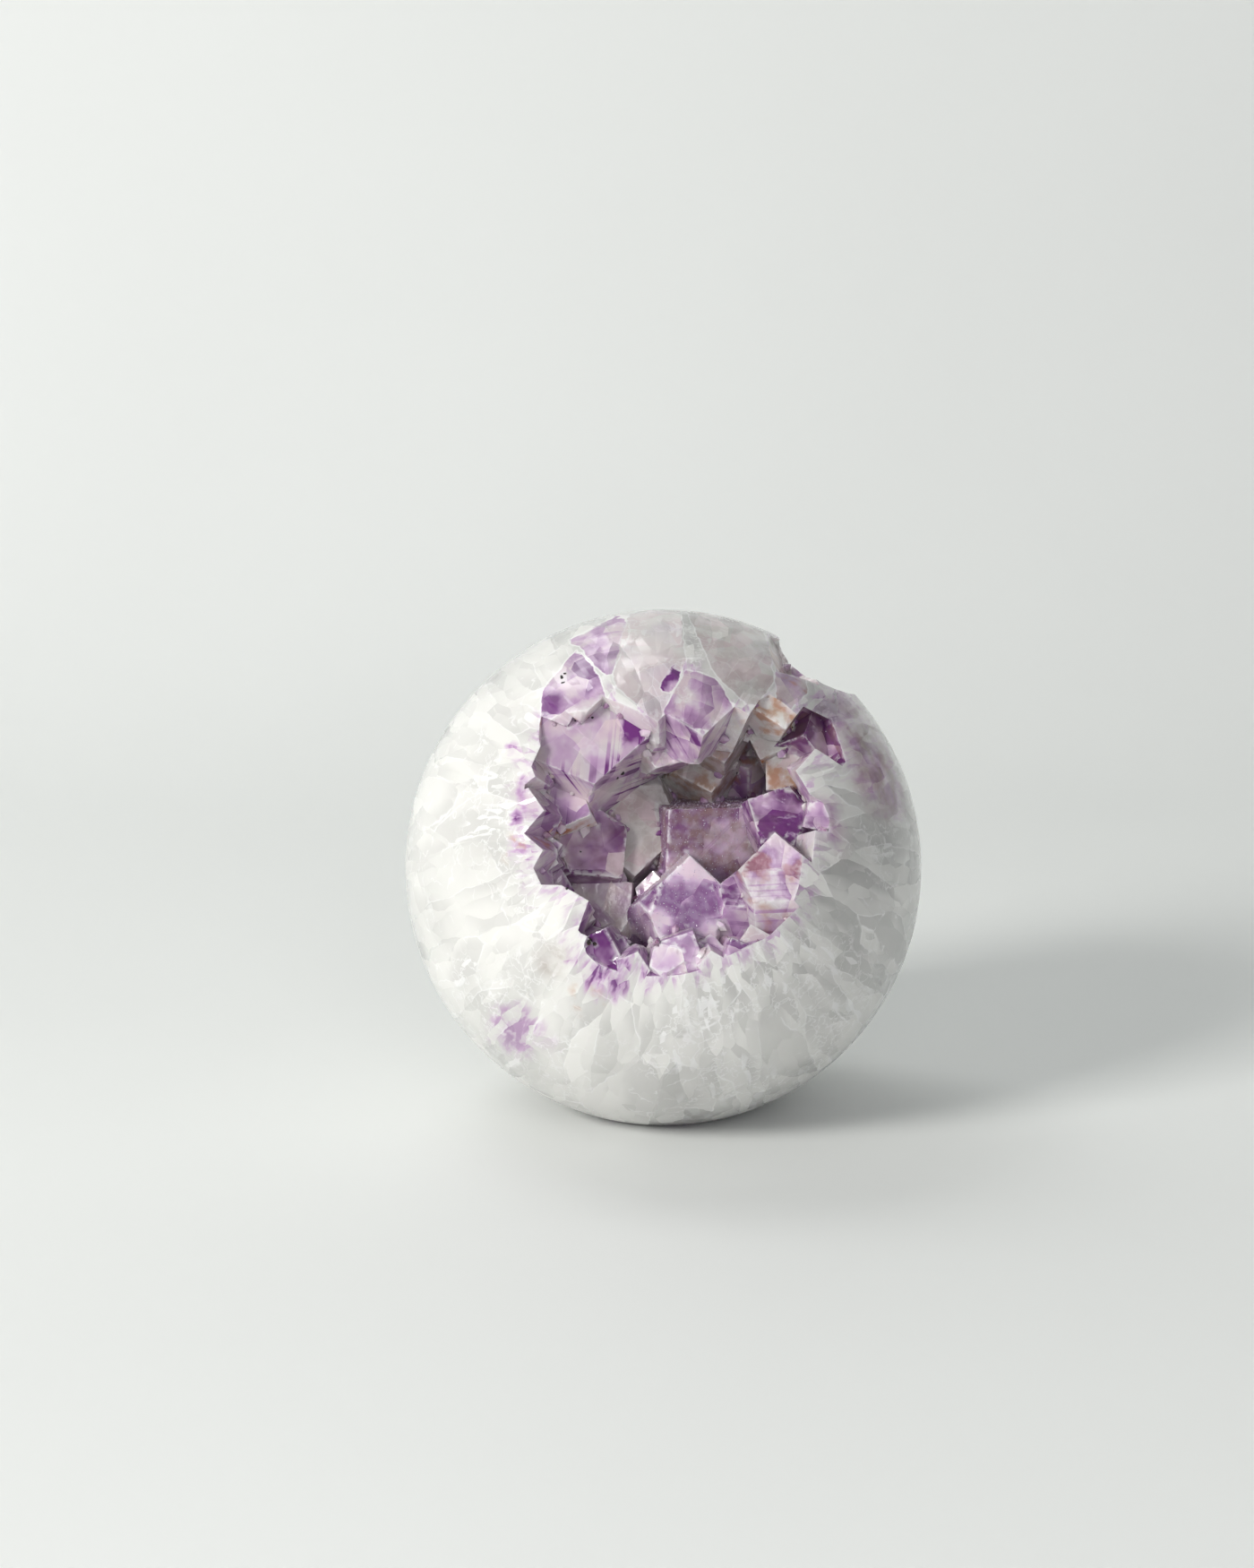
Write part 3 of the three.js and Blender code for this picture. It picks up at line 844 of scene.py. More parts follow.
    def _tinted(self, body: Socket) -> Socket:
        """Adds violet, in clouds and growth stripes, then smoke and rust.

        Args:
            body: The colour so far.

        Returns:
            The colour with them.
        """
        finish, clouds, tones = self.finish, self.clouds, self.tones
        feeds = {"W": self.mark(Mark.FROM_TIP.value), **self.BANDS}
        ripple = self.add("ShaderNodeTexNoise", feeds, noise_dimensions="1D").outputs["Fac"]
        inside = self.sum("ADD", clouds["mid"], self.times(self.chip.slope, 0.16))
        within = self.rise(inside, *self.WITHIN_SPAN)
        streak = self.rise(self.noise(self.STREAKS, 2, self.column), *self.STREAK_SPAN)
        patch = self.weighted((self.splinter.slope, 0.9), (self.splinter.depth, 0.5))
        fibre = self.sum("ADD", self.times(streak, 0.5), 0.5)
        outside = self.times(fibre, self.rise(patch, *self.PATCH_SPAN))
        soft = self.times(tones[Tone.VIOLET], self.between(self.inner, outside, within))
        enough = self.rise(tones[Tone.VIOLET], *self.STRIPED_SPAN)
        striped = self.times(self.mark(Mark.STRIPES.value), enough)
        dashed = self.times(self.rise(ripple, *self.BAND_SPAN), self.rise(clouds["broad"], *self.DASH_SPAN))
        deep = self.sum("ADD", soft, self.times(dashed, striped), clamp=True)
        lilac = self.blend(self.rise(deep, *self.LILAC_SPAN), body, finish.lilac)
        violet = self.blend(self.rise(deep, *self.VIOLET_SPAN), lilac, finish.violet)
        haze = self.rise(clouds["small"], *self.HAZE_SPAN)
        # Smoke dims the colour; in places it is painted shade
        dimmed = self.blend(self.sum("MULTIPLY", tones[Tone.SMOKE], haze, clamp=True), violet, finish.smoke)
        blot = self.rise(self.sum("ADD", clouds["small"], clouds["mid"]), *self.BLOT_SPAN)
        return self.blend(self.sum("MULTIPLY", blot, tones[Tone.RUST], clamp=True), dimmed, finish.rust)

    def _worn_edges_and_highlights(self, body: Socket) -> Socket:
        """Adds pale ridges, partly chipped wear and partly painted edge highlights, and the frost on dusty
        faces.

        Args:
            body: The colour so far.

        Returns:
            The colour with them.
        """
        fine = self.clouds["fine"]
        # Painted highlight along the ridges, partly pale chipped wear
        edge_wear_and_highlight = self.times(self.mark(Mark.RIDGE.value), self.rise(fine, *self.EDGE_WEAR_AND_HIGHLIGHT_SPAN), 0.75)
        frosted = self.times(self.tones[Tone.DUST], self.rise(fine, *self.FROST_SPAN), 0.2)
        return self.blend(frosted, self.blend(edge_wear_and_highlight, body, self.finish.seam), self.finish.dust)

    def _clearness(self) -> Socket:
        """Works out how much of the light goes in: less where the quartz is milky, stained or dusty.

        Returns:
            A number from 0 to 1.
        """
        tones = self.tones
        level = self.sum("ADD", self.times(self.cell.depth, 0.5), self.clouds["broad"])
        clear = self.sum("ADD", self.rise(level, *self.CLEAR_SPAN), self.times(self.inner, 0.08))
        dull = self.weighted((tones[Tone.MILK], 0.7), (tones[Tone.RUST], 0.5))
        duller = self.sum("ADD", dull, self.times(tones[Tone.DUST], 0.5), clamp=True)
        return self.times(clear, self.rest(duller))

    def _normal(self) -> Socket:
        """Leans the columns under the polish, and adds small facets and hillocks to the natural faces.

        Returns:
            The way that the surface looks.
        """
        straight = self.add("ShaderNodeNewGeometry").outputs["Normal"]
        both = self.vector("ADD", self.cell.tilt, self.splinter.tilt)
        outer = self.scaled(both, self.times(self.polish, self.COLUMN_LEAN))
        inner = self.scaled(self.chip.tilt, self.times(self.natural, self.FACET_LEAN))
        leaning = self.vector("ADD", self.vector("ADD", straight, outer), inner)
        feeds = {
            "Height": self.clouds["small"],
            "Strength": self.sum("ADD", self.times(self.natural, 0.3), 0.06),
            "Distance": self.HILLOCK_HEIGHT,
            "Normal": self.vector("NORMALIZE", leaning),
        }
        return self.add("ShaderNodeBump", feeds).outputs[0]


@dataclass(frozen=True)
class MottledFinish:
    """Two colours that drift into each other.

    Args:
        name: The material's name.
        first: The commoner colour.
        second: The other colour.
        scale: The scale of the drift.
        span: Where the second colour starts, and where it is full.
        detail: How fine the drift is.
    """

    name: str
    first: Triple
    second: Triple
    scale: float
    span: tuple[float, float]
    detail: float = 3.0

    def material(self, feeds: dict[str, Feed], bump: Triple | None = None) -> bpy.types.Material:
        """Makes the finish a node material.

        Args:
            feeds: The shader's other inputs.
            bump: The scale, strength and height of its grain.

        Returns:
            The material.
        """
        graph = ShaderGraph(self.name)
        share = graph.rise(graph.noise(self.scale, self.detail), *self.span)
        feeds = {"Base Color": graph.blend(share, self.first, self.second), **feeds}
        if bump:
            scale, strength, height = bump
            grain = {"Height": graph.noise(scale, 3), "Strength": strength, "Distance": height}
            feeds["Normal"] = graph.add("ShaderNodeBump", grain).outputs[0]
        shader = graph.add("ShaderNodeBsdfPrincipled", feeds)
        graph.add("ShaderNodeOutputMaterial", {"Surface": shader.outputs[0]})
        return graph.material


def iron_oxide() -> bpy.types.Material:
    """Black iron oxide, dull with a brown bloom.

    Returns:
        The finish.
    """
    finish = MottledFinish("iron_oxide", (0.012, 0.010, 0.010), (0.10, 0.055, 0.03), 1900, (0.5, 0.7))
    return finish.material({"Roughness": 0.55}, bump=(5000, 0.5, 0.1 * MM))


def healed_crack() -> bpy.types.Material:
    """A healed crack inside the quartz: a thin, pale sheet of tiny bubbles.

    Returns:
        The finish.
    """
    finish = MottledFinish("healed_crack", (0.95, 0.95, 0.96), (0.78, 0.77, 0.80), 900, (0.4, 0.65))
    return finish.material({"Roughness": 0.25, "Alpha": 0.6})


def sparkling_grain() -> bpy.types.Material:
    """Tiny clear quartz grains that sparkle on a natural face.

    Returns:
        The finish.
    """
    finish = MottledFinish("sparkling_grain", (0.90, 0.88, 0.94), (0.66, 0.55, 0.76), 700, (0.4, 0.6), 2.0)
    return finish.material({"Roughness": 0.08, "IOR": QuartzFinish.ior, "Transmission Weight": 0.25})


@dataclass
class Stone:
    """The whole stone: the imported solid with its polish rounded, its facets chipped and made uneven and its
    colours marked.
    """

    polished_edge: float = 1.6 * MM
    facet_edge: float = 0.9 * MM
    sharp_deg: float = 14.0
    ridge_deg: float = 22.0
    chip_depth: float = 0.4 * MM
    wobble: float = 0.05 * MM
    rim_violet: float = 0.30
    rim_width: float = 5.0

    # How near the ball's surface, and how square to its radius, a polished face is
    POLISH_SLACK = 0.12
    POLISH_FACING = 0.995
    # Planes are told apart by their direction and by their distance, in steps
    PLANE_DISTANCE = 20
    PLANE_STEPS = 50
    # Splitting of long edges
    FLAT_DEG = 0.5
    SPLIT_ROUNDS = 6
    SPLIT_OVER = 1.4
    # Wear: scales of the unevenness and of the chips, and the chips' least share
    WOBBLE_SCALE = 0.45
    CHIP_SCALE = 0.9
    CHIP_START = 0.1
    LEAST_CHIP = 0.12
    RIM_DRUSE = 0.25
    # How pale the rim's edge is painted: partly wear, partly painted highlight
    RIM_RIDGE = 0.7
    # Columns run outwards from the hollow, and less along the depth
    COLUMN_STRETCH = (1, 1, 0.35)
    # Colours differ this much from facet to facet, and stripes lie apart by this from point to point
    FACET_DRAW = 0.09
    STRIPE_SHIFT = 7.3
    BAND_VIOLET = 0.9
    BAND_EDGE = 0.5
    # Spots fade outside this share of their half width
    SPOT_REACH = 1.35
    # The foot, below this share of the radius, has no healed cracks
    FOOT_SHARE = 0.93

    def build(self, quartz: bpy.types.Material) -> bpy.types.Object:
        """Builds and dresses the stone.

        Args:
            quartz: Its finish.

        Returns:
            The stone's object.
        """
        shape = bmesh.new()
        shape.from_mesh(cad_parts[NODE].data)
        bmesh.ops.remove_doubles(shape, verts=shape.verts, dist=0.001 * MM)
        self._mark_faces(shape)
        self._refine(shape)
        self._round_polish(shape)
        self._sharpen(shape)
        self._wear(shape)
        mesh = bpy.data.meshes.new("stone")
        shape.to_mesh(mesh)
        shape.free()
        self._colour(mesh)
        self._smooth(mesh)
        mesh.materials.append(quartz)
        return placed("stone", mesh)

    def _mark_faces(self, shape: bmesh.types.BMesh) -> None:
        """Marks each face as polished, or with the number of the quartz point that it is on.

        Args:
            shape: The stone.
        """
        shape.faces.ensure_lookup_table()
        polish = shape.faces.layers.int.new("is_polished")
        owner = shape.faces.layers.int.new("owner")
        facet = shape.faces.layers.int.new("facet")
        middles = np.array([face.calc_center_median() for face in shape.faces])
        normals = np.array([face.normal for face in shape.faces])
        radial = middles - np.array(FACE.centre)
        reach = np.linalg.norm(radial, axis=1)
        facing = np.einsum("ij,ij->i", radial, normals) / reach
        polished = reach > (FACE.ball_radius - self.POLISH_SLACK) * MM
        polished &= facing > self.POLISH_FACING
        face_middles = FACE.to_face(middles)
        face_normals = normals @ FACE.axes.T
        owners = np.full(len(middles), -1)
        for number, point in enumerate(POINTS):
            owners[(owners < 0) & point.owns(face_middles, face_normals)] = number
        distances = np.einsum("ij,ij->i", face_middles, face_normals) / self.PLANE_DISTANCE
        planes = np.round(np.column_stack((face_normals, distances)) * self.PLANE_STEPS).astype(int)
        keys = np.unique(planes, axis=0, return_inverse=True)[1].ravel()
        for face in shape.faces:
            face[polish] = int(polished[face.index])
            face[owner] = int(owners[face.index])
            face[facet] = int(keys[face.index])

    def _refine(self, shape: bmesh.types.BMesh) -> None:
        """Splits long edges until every face is small.

        Args:
            shape: The stone.
        """
        polish = shape.faces.layers.int["is_polished"]
        natural = [face for face in shape.faces if not face[polish]]
        inner = [edge for edge in shape.edges if all(not face[polish] for face in edge.link_faces)]
        flat = [edge for edge in inner if edge.calc_face_angle(0.0) < math.radians(self.FLAT_DEG)]
        bmesh.ops.beautify_fill(shape, faces=natural, edges=flat)
        for _ in range(self.SPLIT_ROUNDS):
            long_edges = []
            for edge in shape.edges:
                rounded = all(face[polish] for face in edge.link_faces)
                longest = self.polished_edge if rounded else self.facet_edge
                if edge.calc_length() > longest * self.SPLIT_OVER:
                    long_edges.append(edge)
            if not long_edges:
                break
            bmesh.ops.subdivide_edges(shape, edges=long_edges, cuts=1)
            many_sided = [face for face in shape.faces if len(face.verts) > 3]
            bmesh.ops.triangulate(shape, faces=many_sided)
        shape.normal_update()

    def _round_polish(self, shape: bmesh.types.BMesh) -> None:
        """Moves the polished faces' corners out onto the true ball.

        Args:
            shape: The stone.
        """
        polish = shape.faces.layers.int["is_polished"]
        corners = {vert for face in shape.faces if face[polish] for vert in face.verts}
        for vert in corners:
            outward = (vert.co - FACE.centre).normalized()
            if vert.co.z > 0.01 * MM:
                vert.co = FACE.centre + outward * FACE.ball_radius * MM
        shape.normal_update()

    def _sharpen(self, shape: bmesh.types.BMesh) -> None:
        """Keeps the edges between facets, and around the polish, sharp.

        Args:
            shape: The stone.
        """
        polish = shape.faces.layers.int["is_polished"]
        for face in shape.faces:
            face.smooth = True
        for edge in shape.edges:
            sides = [face[polish] for face in edge.link_faces]
            bent = edge.calc_face_angle(0.0) > math.radians(self.sharp_deg)
            edge.smooth = all(sides) or (not any(sides) and not bent)

    def _wear(self, shape: bmesh.types.BMesh) -> None:
        """Chips the ridges, makes the facets a little uneven, and marks the creases for small points.

        Args:
            shape: The stone.
        """
        polish = shape.faces.layers.int["is_polished"]
        ridge = shape.verts.layers.float.new(Mark.RIDGE.value)
        druse = shape.verts.layers.float.new(Cover.DRUSE.value)
        moves = []
        for vert in shape.verts:
            sides = [face[polish] for face in vert.link_faces]
            if all(sides) or vert.co.z < 0.2 * MM:
                continue
            creases = [edge for edge in vert.link_edges if not edge.smooth]
            place = vert.co / MM
            if any(sides):
                vert[druse] = self.RIM_DRUSE
                vert[ridge] = self.RIM_RIDGE
            elif not creases:
                moves.append((vert, vert.normal * self.wobble * noise.noise(place * self.WOBBLE_SCALE)))
            else:
                bends = [edge.calc_face_angle_signed(0.0) for edge in creases]
                if max(bends) > math.radians(self.ridge_deg):
                    # The ridge mark paints a pale edge: partly chipped wear, partly painted highlight
                    vert[ridge] = 1.0
                    chip = max(0.0, noise.noise(place * self.CHIP_SCALE) - self.CHIP_START) * 2
                    moves.append((vert, vert.normal * -self.chip_depth * (self.LEAST_CHIP + chip)))
                elif min(bends) < -math.radians(self.ridge_deg):
                    vert[druse] = 1.0
        for vert, move in moves:
            vert.co += move
        shape.normal_update()

    def _colour(self, mesh: bpy.types.Mesh) -> None:
        """Writes the tones and marks that the finish reads.

        Args:
            mesh: The stone's mesh.
        """
        corner_vert = np.zeros(len(mesh.loops), int)
        mesh.loops.foreach_get("vertex_index", corner_vert)
        places = np.zeros(len(mesh.vertices) * 3)
        mesh.vertices.foreach_get("co", places)
        places = FACE.to_face(places.reshape(-1, 3))
        faces = {}
        for name in ("is_polished", "owner", "facet"):
            values = np.zeros(len(mesh.polygons), int)
            mesh.attributes[name].data.foreach_get("value", values)
            faces[name] = np.repeat(values, 3)
            mesh.attributes.remove(mesh.attributes[name])
        tones, stripes, from_tip = self._natural_tones(places[corner_vert], faces["owner"], faces["facet"])
        polished = faces["is_polished"] == 1
        natural = np.zeros(len(places), bool)
        natural[corner_vert[~polished]] = True
        natural &= places[:, 2] > 0
        tones[polished] = self._polished_tones(places, places[natural])[corner_vert[polished]]
        stripes[polished] = 0.0
        for index, tone in enumerate(Tone):
            store(mesh, tone.value, "CORNER", tones[:, index])
        store(mesh, Mark.STRIPES.value, "CORNER", stripes)
        store(mesh, Mark.FROM_TIP.value, "CORNER", from_tip)
        store(mesh, Mark.POLISH.value, "CORNER", polished.astype(float))
        for number, section in enumerate(SECTIONS):
            store(mesh, f"{SECTION_MARK}{number}", "POINT", section.inside(places))
        ways = (places - HOLLOW_MIDDLE) * np.array(self.COLUMN_STRETCH)
        ways /= np.linalg.norm(ways, axis=1, keepdims=True)
        column = mesh.attributes.new(Mark.COLUMN.value, "FLOAT_VECTOR", "POINT")
        column.data.foreach_set("vector", ways.astype(np.float32).ravel())
        self._cover(mesh, places, corner_vert, tones, polished)

    def _cover(
        self,
        mesh: bpy.types.Mesh,
        places: np.ndarray,
        corner_vert: np.ndarray,
        tones: np.ndarray,
        polished: np.ndarray,
    ) -> None:
        """Marks where the sparkling grains and the healed cracks lie.

        Args:
            mesh: The stone's mesh.
            places: Every vertex's place in the face frame.
            corner_vert: Every corner's vertex.
            tones: Every corner's tones.
            polished: Whether each corner is polished.
        """
        dusty = np.zeros(len(places))
        np.maximum.at(dusty, corner_vert, tones[:, Tone.DUST.place])
        store(mesh, Cover.GRAINS.value, "POINT", dusty)
        outside = np.ones(len(places))
        outside[corner_vert[~polished]] = 0.0
        outside[places[:, 1] < -self.FOOT_SHARE * FACE.ball_radius] = 0.0
        store(mesh, Cover.VEILS.value, "POINT", outside)

    def _natural_tones(self, corners: np.ndarray, owner: np.ndarray, facet: np.ndarray) -> tuple:
        """The tones of the natural faces.

        Args:
            corners: Every corner's place in the face frame.
            owner: The number of the point it is on, or -1.
            facet: The number of the plane it is on.

        Returns:
            The tones, the stripes and the distance from the tip, for each corner.
        """
        x, y, z = corners.T
        depth = ramp(z, 36, 22)
        high = ramp(y, 10, 18)
        beside = ramp(x, 19, 22) * high
        tones = np.zeros((len(corners), len(Tone)))
        tones[:, Tone.VIOLET.place] = 0.5 - 0.2 * high + 0.45 * beside
        # Smoke that rises and milk that falls deeper in the hollow, and smoke on its upper right, are painted
        # shade
        tones[:, Tone.SMOKE.place] = 0.05 + 0.25 * depth + 0.25 * beside
        tones[:, Tone.RUST.place] = 0.35 * high * (1 - 0.8 * beside)
        tones[:, Tone.MILK.place] = 0.35 * (1 - depth)
        stripes = np.full(len(corners), Tint.stripes)
        from_tip = np.linalg.norm(corners - HOLLOW_MIDDLE, axis=1)
        for number, point in enumerate(POINTS):
            on_point = owner == number
            tones[on_point] = point.tint.row()
            stripes[on_point] = point.tint.stripes
            reach = (np.array(point.tip) - corners[on_point]) @ point.axis()
            from_tip[on_point] = reach + self.STRIPE_SHIFT * number
            for start, end in point.bands:
                inside = np.minimum(reach - start, end - reach)
                share = np.clip(inside / self.BAND_EDGE + 0.5, 0, 1)
                tones[on_point, Tone.VIOLET.place] += self.BAND_VIOLET * share
        paler = ramp(np.linalg.norm(corners, axis=1), 35, 39) * ramp(z, 24, 10)
        tones *= 1 - 0.9 * paler[:, None]
        tones[:, Tone.MILK.place] = np.maximum(tones[:, Tone.MILK.place], 0.75 * paler)
        stripes *= 1 - paler
        shape = (facet.max() + 1, len(Tone))
        draw = np.random.default_rng(11).uniform(-self.FACET_DRAW, self.FACET_DRAW, shape)
        draw[:, [Tone.RUST.place, Tone.DUST.place]] = 0
        return np.clip(tones + draw[facet], 0, 1), stripes, from_tip

    def _polished_tones(self, places: np.ndarray, natural: np.ndarray) -> np.ndarray:
        """The tones that show through the polish.

        Args:
            places: Every vertex's place in the face frame.
            natural: The places of those on natural faces.

        Returns:
            A row of tones for each vertex.
        """
        x, y, z = places.T
        # Paler towards the left, where the key light falls, and towards the bottom, as painted light bounced
        # from the floor; partly the quartz's own milk
        milk_and_painted_light = np.maximum(ramp(x, 4, -22), 0.8 * ramp(y, -8, -28))
        tones = np.zeros((len(places), len(Tone)))
        tones[:, Tone.MILK.place] = np.maximum(0.15 + 0.6 * milk_and_painted_light, 0.3 * ramp(z, 0, -30))
        near_rim = ramp(self._rim_distance(places, natural), self.rim_width, 0)
        tones[:, Tone.VIOLET.place] = self.rim_violet * near_rim
        for spot in SPOTS:
            away = np.hypot(x - spot.x, y - spot.y) / (spot.across / 2)
            share = np.where(z > 0, np.clip(self.SPOT_REACH - away, 0, 1), 0)
            share = share * share * (3 - 2 * share)
            tones = np.maximum(tones, share[:, None] * spot.tint.row())
        return tones

    def _rim_distance(self, places: np.ndarray, natural: np.ndarray) -> np.ndarray:
        """Measures how far places are from the natural faces.

        Args:
            places: Places in the face frame.
            natural: Places on the natural faces.

        Returns:
            The distance to the nearest one, in millimetres, for each place.
        """
        tree = KDTree(len(natural))
        for number, place in enumerate(natural):
            tree.insert(place, number)
        tree.balance()
        return np.array([tree.find(place)[2] for place in places])

    def _smooth(self, mesh: bpy.types.Mesh) -> None:
        """Gives the polish the normals of a true ball, and leaves the facets' own.

        Args:
            mesh: The stone's mesh.
        """
        places = np.zeros(len(mesh.vertices) * 3)
        mesh.vertices.foreach_get("co", places)
        outward = places.reshape(-1, 3) - np.array(FACE.centre)
        outward /= np.linalg.norm(outward, axis=1, keepdims=True)
        corner_vert = np.zeros(len(mesh.loops), int)
        mesh.loops.foreach_get("vertex_index", corner_vert)
        polish = np.zeros(len(mesh.loops), np.float32)
        mesh.attributes[Mark.POLISH.value].data.foreach_get("value", polish)
        normals = outward[corner_vert] * polish[:, None]
        mesh.normals_split_custom_set(normals.tolist())


class ScatterTree(NodeGraph):
    """A geometry tree that strews copies of one small shape over a mesh, where a mesh attribute says."""

    SEED_STEP = 17.0
    SIZES = ("Density", "Least", "Most", "Lean", "Shallow", "Deep")

    def __init__(
        self,
        name: str,
        cover: Cover,
        material: bpy.types.Material,
        tones: dict[Tone, tuple[float, float]],
    ) -> None:
        """Builds the tree.

        Args:
            name: The tree's name.
            cover: The attribute that says where the copies go.
            material: Their finish.
            tones: The least and the most of each tone that a copy may hold.
        """
        self.tree = bpy.data.node_groups.new(name, "GeometryNodeTree")
        self._socket("Geometry", "INPUT", "NodeSocketGeometry")
        self._socket("Shape", "INPUT", "NodeSocketObject")
        self._socket("Seed", "INPUT", "NodeSocketInt")
        for size in self.SIZES:
            self._socket(size, "INPUT", "NodeSocketFloat")
        self._socket("Geometry", "OUTPUT", "NodeSocketGeometry")
        inlet = self.add("NodeGroupInput").outputs
        share = self.add("GeometryNodeInputNamedAttribute", {"Name": cover.value}).outputs["Attribute"]
        density = self._product(share, inlet["Density"])
        feeds = {"Mesh": inlet["Geometry"], "Density": density, "Seed": inlet["Seed"]}
        spread = self.add("GeometryNodeDistributePointsOnFaces", feeds).outputs
        depth = self._random(inlet["Shallow"], inlet["Deep"], inlet["Seed"], 1)
        feeds = {0: spread["Normal"], "Scale": self._product(depth, -1.0)}
        offset = self.add("ShaderNodeVectorMath", feeds, operation="SCALE").outputs[0]
        feeds = {"Geometry": spread["Points"], "Offset": offset}
        points = self.add("GeometryNodeSetPosition", feeds).outputs[0]
        least = self._product(inlet["Lean"], -1.0)
        angles = [self._random(least, inlet["Lean"], inlet["Seed"], step) for step in (2, 3)]
        turn = self._random(-math.pi, math.pi, inlet["Seed"], 4)
        lean = self.add("ShaderNodeCombineXYZ", {0: angles[0], 1: angles[1], 2: turn}).outputs[0]
        lean = self.add("FunctionNodeEulerToRotation", {0: lean}).outputs[0]
        feeds = {0: spread["Rotation"], 1: lean}
        turned = self.add("FunctionNodeRotateRotation", feeds, rotation_space="LOCAL").outputs[0]
        size = self._random(inlet["Least"], inlet["Most"], inlet["Seed"], 5)
        shape = self.add("GeometryNodeObjectInfo", {"Object": inlet["Shape"]}).outputs["Geometry"]
        feeds = {"Points": points, "Instance": shape, "Rotation": turned, "Scale": size}
        copies = self.add("GeometryNodeInstanceOnPoints", feeds).outputs[0]
        for number, (tone, (least, most)) in enumerate(tones.items()):
            value = self._random(least, most, inlet["Seed"], 6 + number)
            feeds = {"Geometry": copies, "Name": tone.value, "Value": value}
            stored = self.add("GeometryNodeStoreNamedAttribute", feeds, data_type="FLOAT", domain="INSTANCE")
            copies = stored.outputs[0]
        real = self.add("GeometryNodeRealizeInstances", {0: copies}).outputs[0]
        dressed = self.add("GeometryNodeSetMaterial", {"Geometry": real, "Material": material}).outputs[0]
        self.add("NodeGroupOutput", {0: dressed})

    def _socket(self, name: str, side: str, kind: str) -> None:
        """Adds an input or an output to the tree."""
        self.tree.interface.new_socket(name, in_out=side, socket_type=kind)

    def _product(self, first: Feed, second: Feed) -> Socket:
        """Two numbers multiplied together."""
        return self.add("ShaderNodeMath", {0: first, 1: second}, operation="MULTIPLY").outputs[0]

    def _random(self, least: Feed, most: Feed, seed: Socket, step: int) -> Socket:
        """A random number for each copy, of a series of its own."""
        own = self.add("ShaderNodeMath", {0: seed, 1: self.SEED_STEP * step}, operation="ADD").outputs[0]
        return self.add("FunctionNodeRandomValue", {2: least, 3: most, 8: own}, data_type="FLOAT").outputs[1]


@dataclass
class Strewn:
    """Many copies of one small shape on, in or along the stone.

    Args:
        name: The piece's name.
        cover: Where they lie.
        density: Copies a square metre, where the cover is full.
        sizes: The least and the greatest width.
        lean: How far a copy leans, in radians.
        depths: How far it is sunk below the surface, the least and the most.
        seed: The random seed.
        tones: The least and the most of each tone.
        margin: How far inside the ball they stay, in millimetres.
    """

    name: str
    cover: Cover
    density: float
    sizes: tuple[float, float]
    lean: float
    depths: tuple[float, float] = (0.0, 0.0)
    seed: int = 1
    tones: dict[Tone, tuple[float, float]] = field(default_factory=dict)
    margin: float = 0.05

    def build(
        self, stone: bpy.types.Object, shape: bpy.types.Mesh, finish: bpy.types.Material
    ) -> bpy.types.Object:
        """Strews the copies over the stone.

        Args:
            stone: What they lie on.
            shape: The mesh to copy, one unit wide.
            finish: Their finish.

        Returns:
            One object that holds them all.
        """
        tree = ScatterTree(self.name, self.cover, finish, self.tones).tree
        pattern = placed(f"{self.name}_pattern", shape)
        host = placed(f"{self.name}_host", stone.data)
        modifier = host.modifiers.new("strew", "NODES")
        modifier.node_group = tree
        values = dict(zip(ScatterTree.SIZES, (self.density, *self.sizes, self.lean, *self.depths)))
        values |= {"Shape": pattern, "Seed": self.seed}
        for socket in tree.interface.items_tree:
            if socket.in_out == "INPUT" and socket.name in values:
                modifier[socket.identifier] = values[socket.name]
        bpy.context.view_layer.update()
        evaluated = host.evaluated_get(bpy.context.evaluated_depsgraph_get())
        mesh = bpy.data.meshes.new_from_object(evaluated)
        mesh.name = self.name
        self._trim(mesh, len(shape.vertices))
        host.modifiers.remove(modifier)
        bpy.data.objects.remove(host)
        bpy.data.objects.remove(pattern)
        return placed(self.name, mesh)

    def _trim(self, mesh: bpy.types.Mesh, corners: int) -> None:
        """Takes out the copies that would stand out of the ball or below the foot.

        Args:
            mesh: All the copies.
            corners: How many corners one copy has.
        """
        places = np.zeros(len(mesh.vertices) * 3)
        mesh.vertices.foreach_get("co", places)
        places = places.reshape(-1, 3)
        reach = np.linalg.norm(places - np.array(FACE.centre), axis=1)
        out = (reach > (FACE.ball_radius - self.margin) * MM) | (places[:, 2] < self.margin * MM)
        gone = np.repeat(out.reshape(-1, corners).any(axis=1), corners)
        shape = bmesh.new()
        shape.from_mesh(mesh)
        shape.verts.ensure_lookup_table()
        verts = [shape.verts[number] for number in np.flatnonzero(gone)]
        bmesh.ops.delete(shape, geom=verts, context="VERTS")
        shape.to_mesh(mesh)
        shape.free()


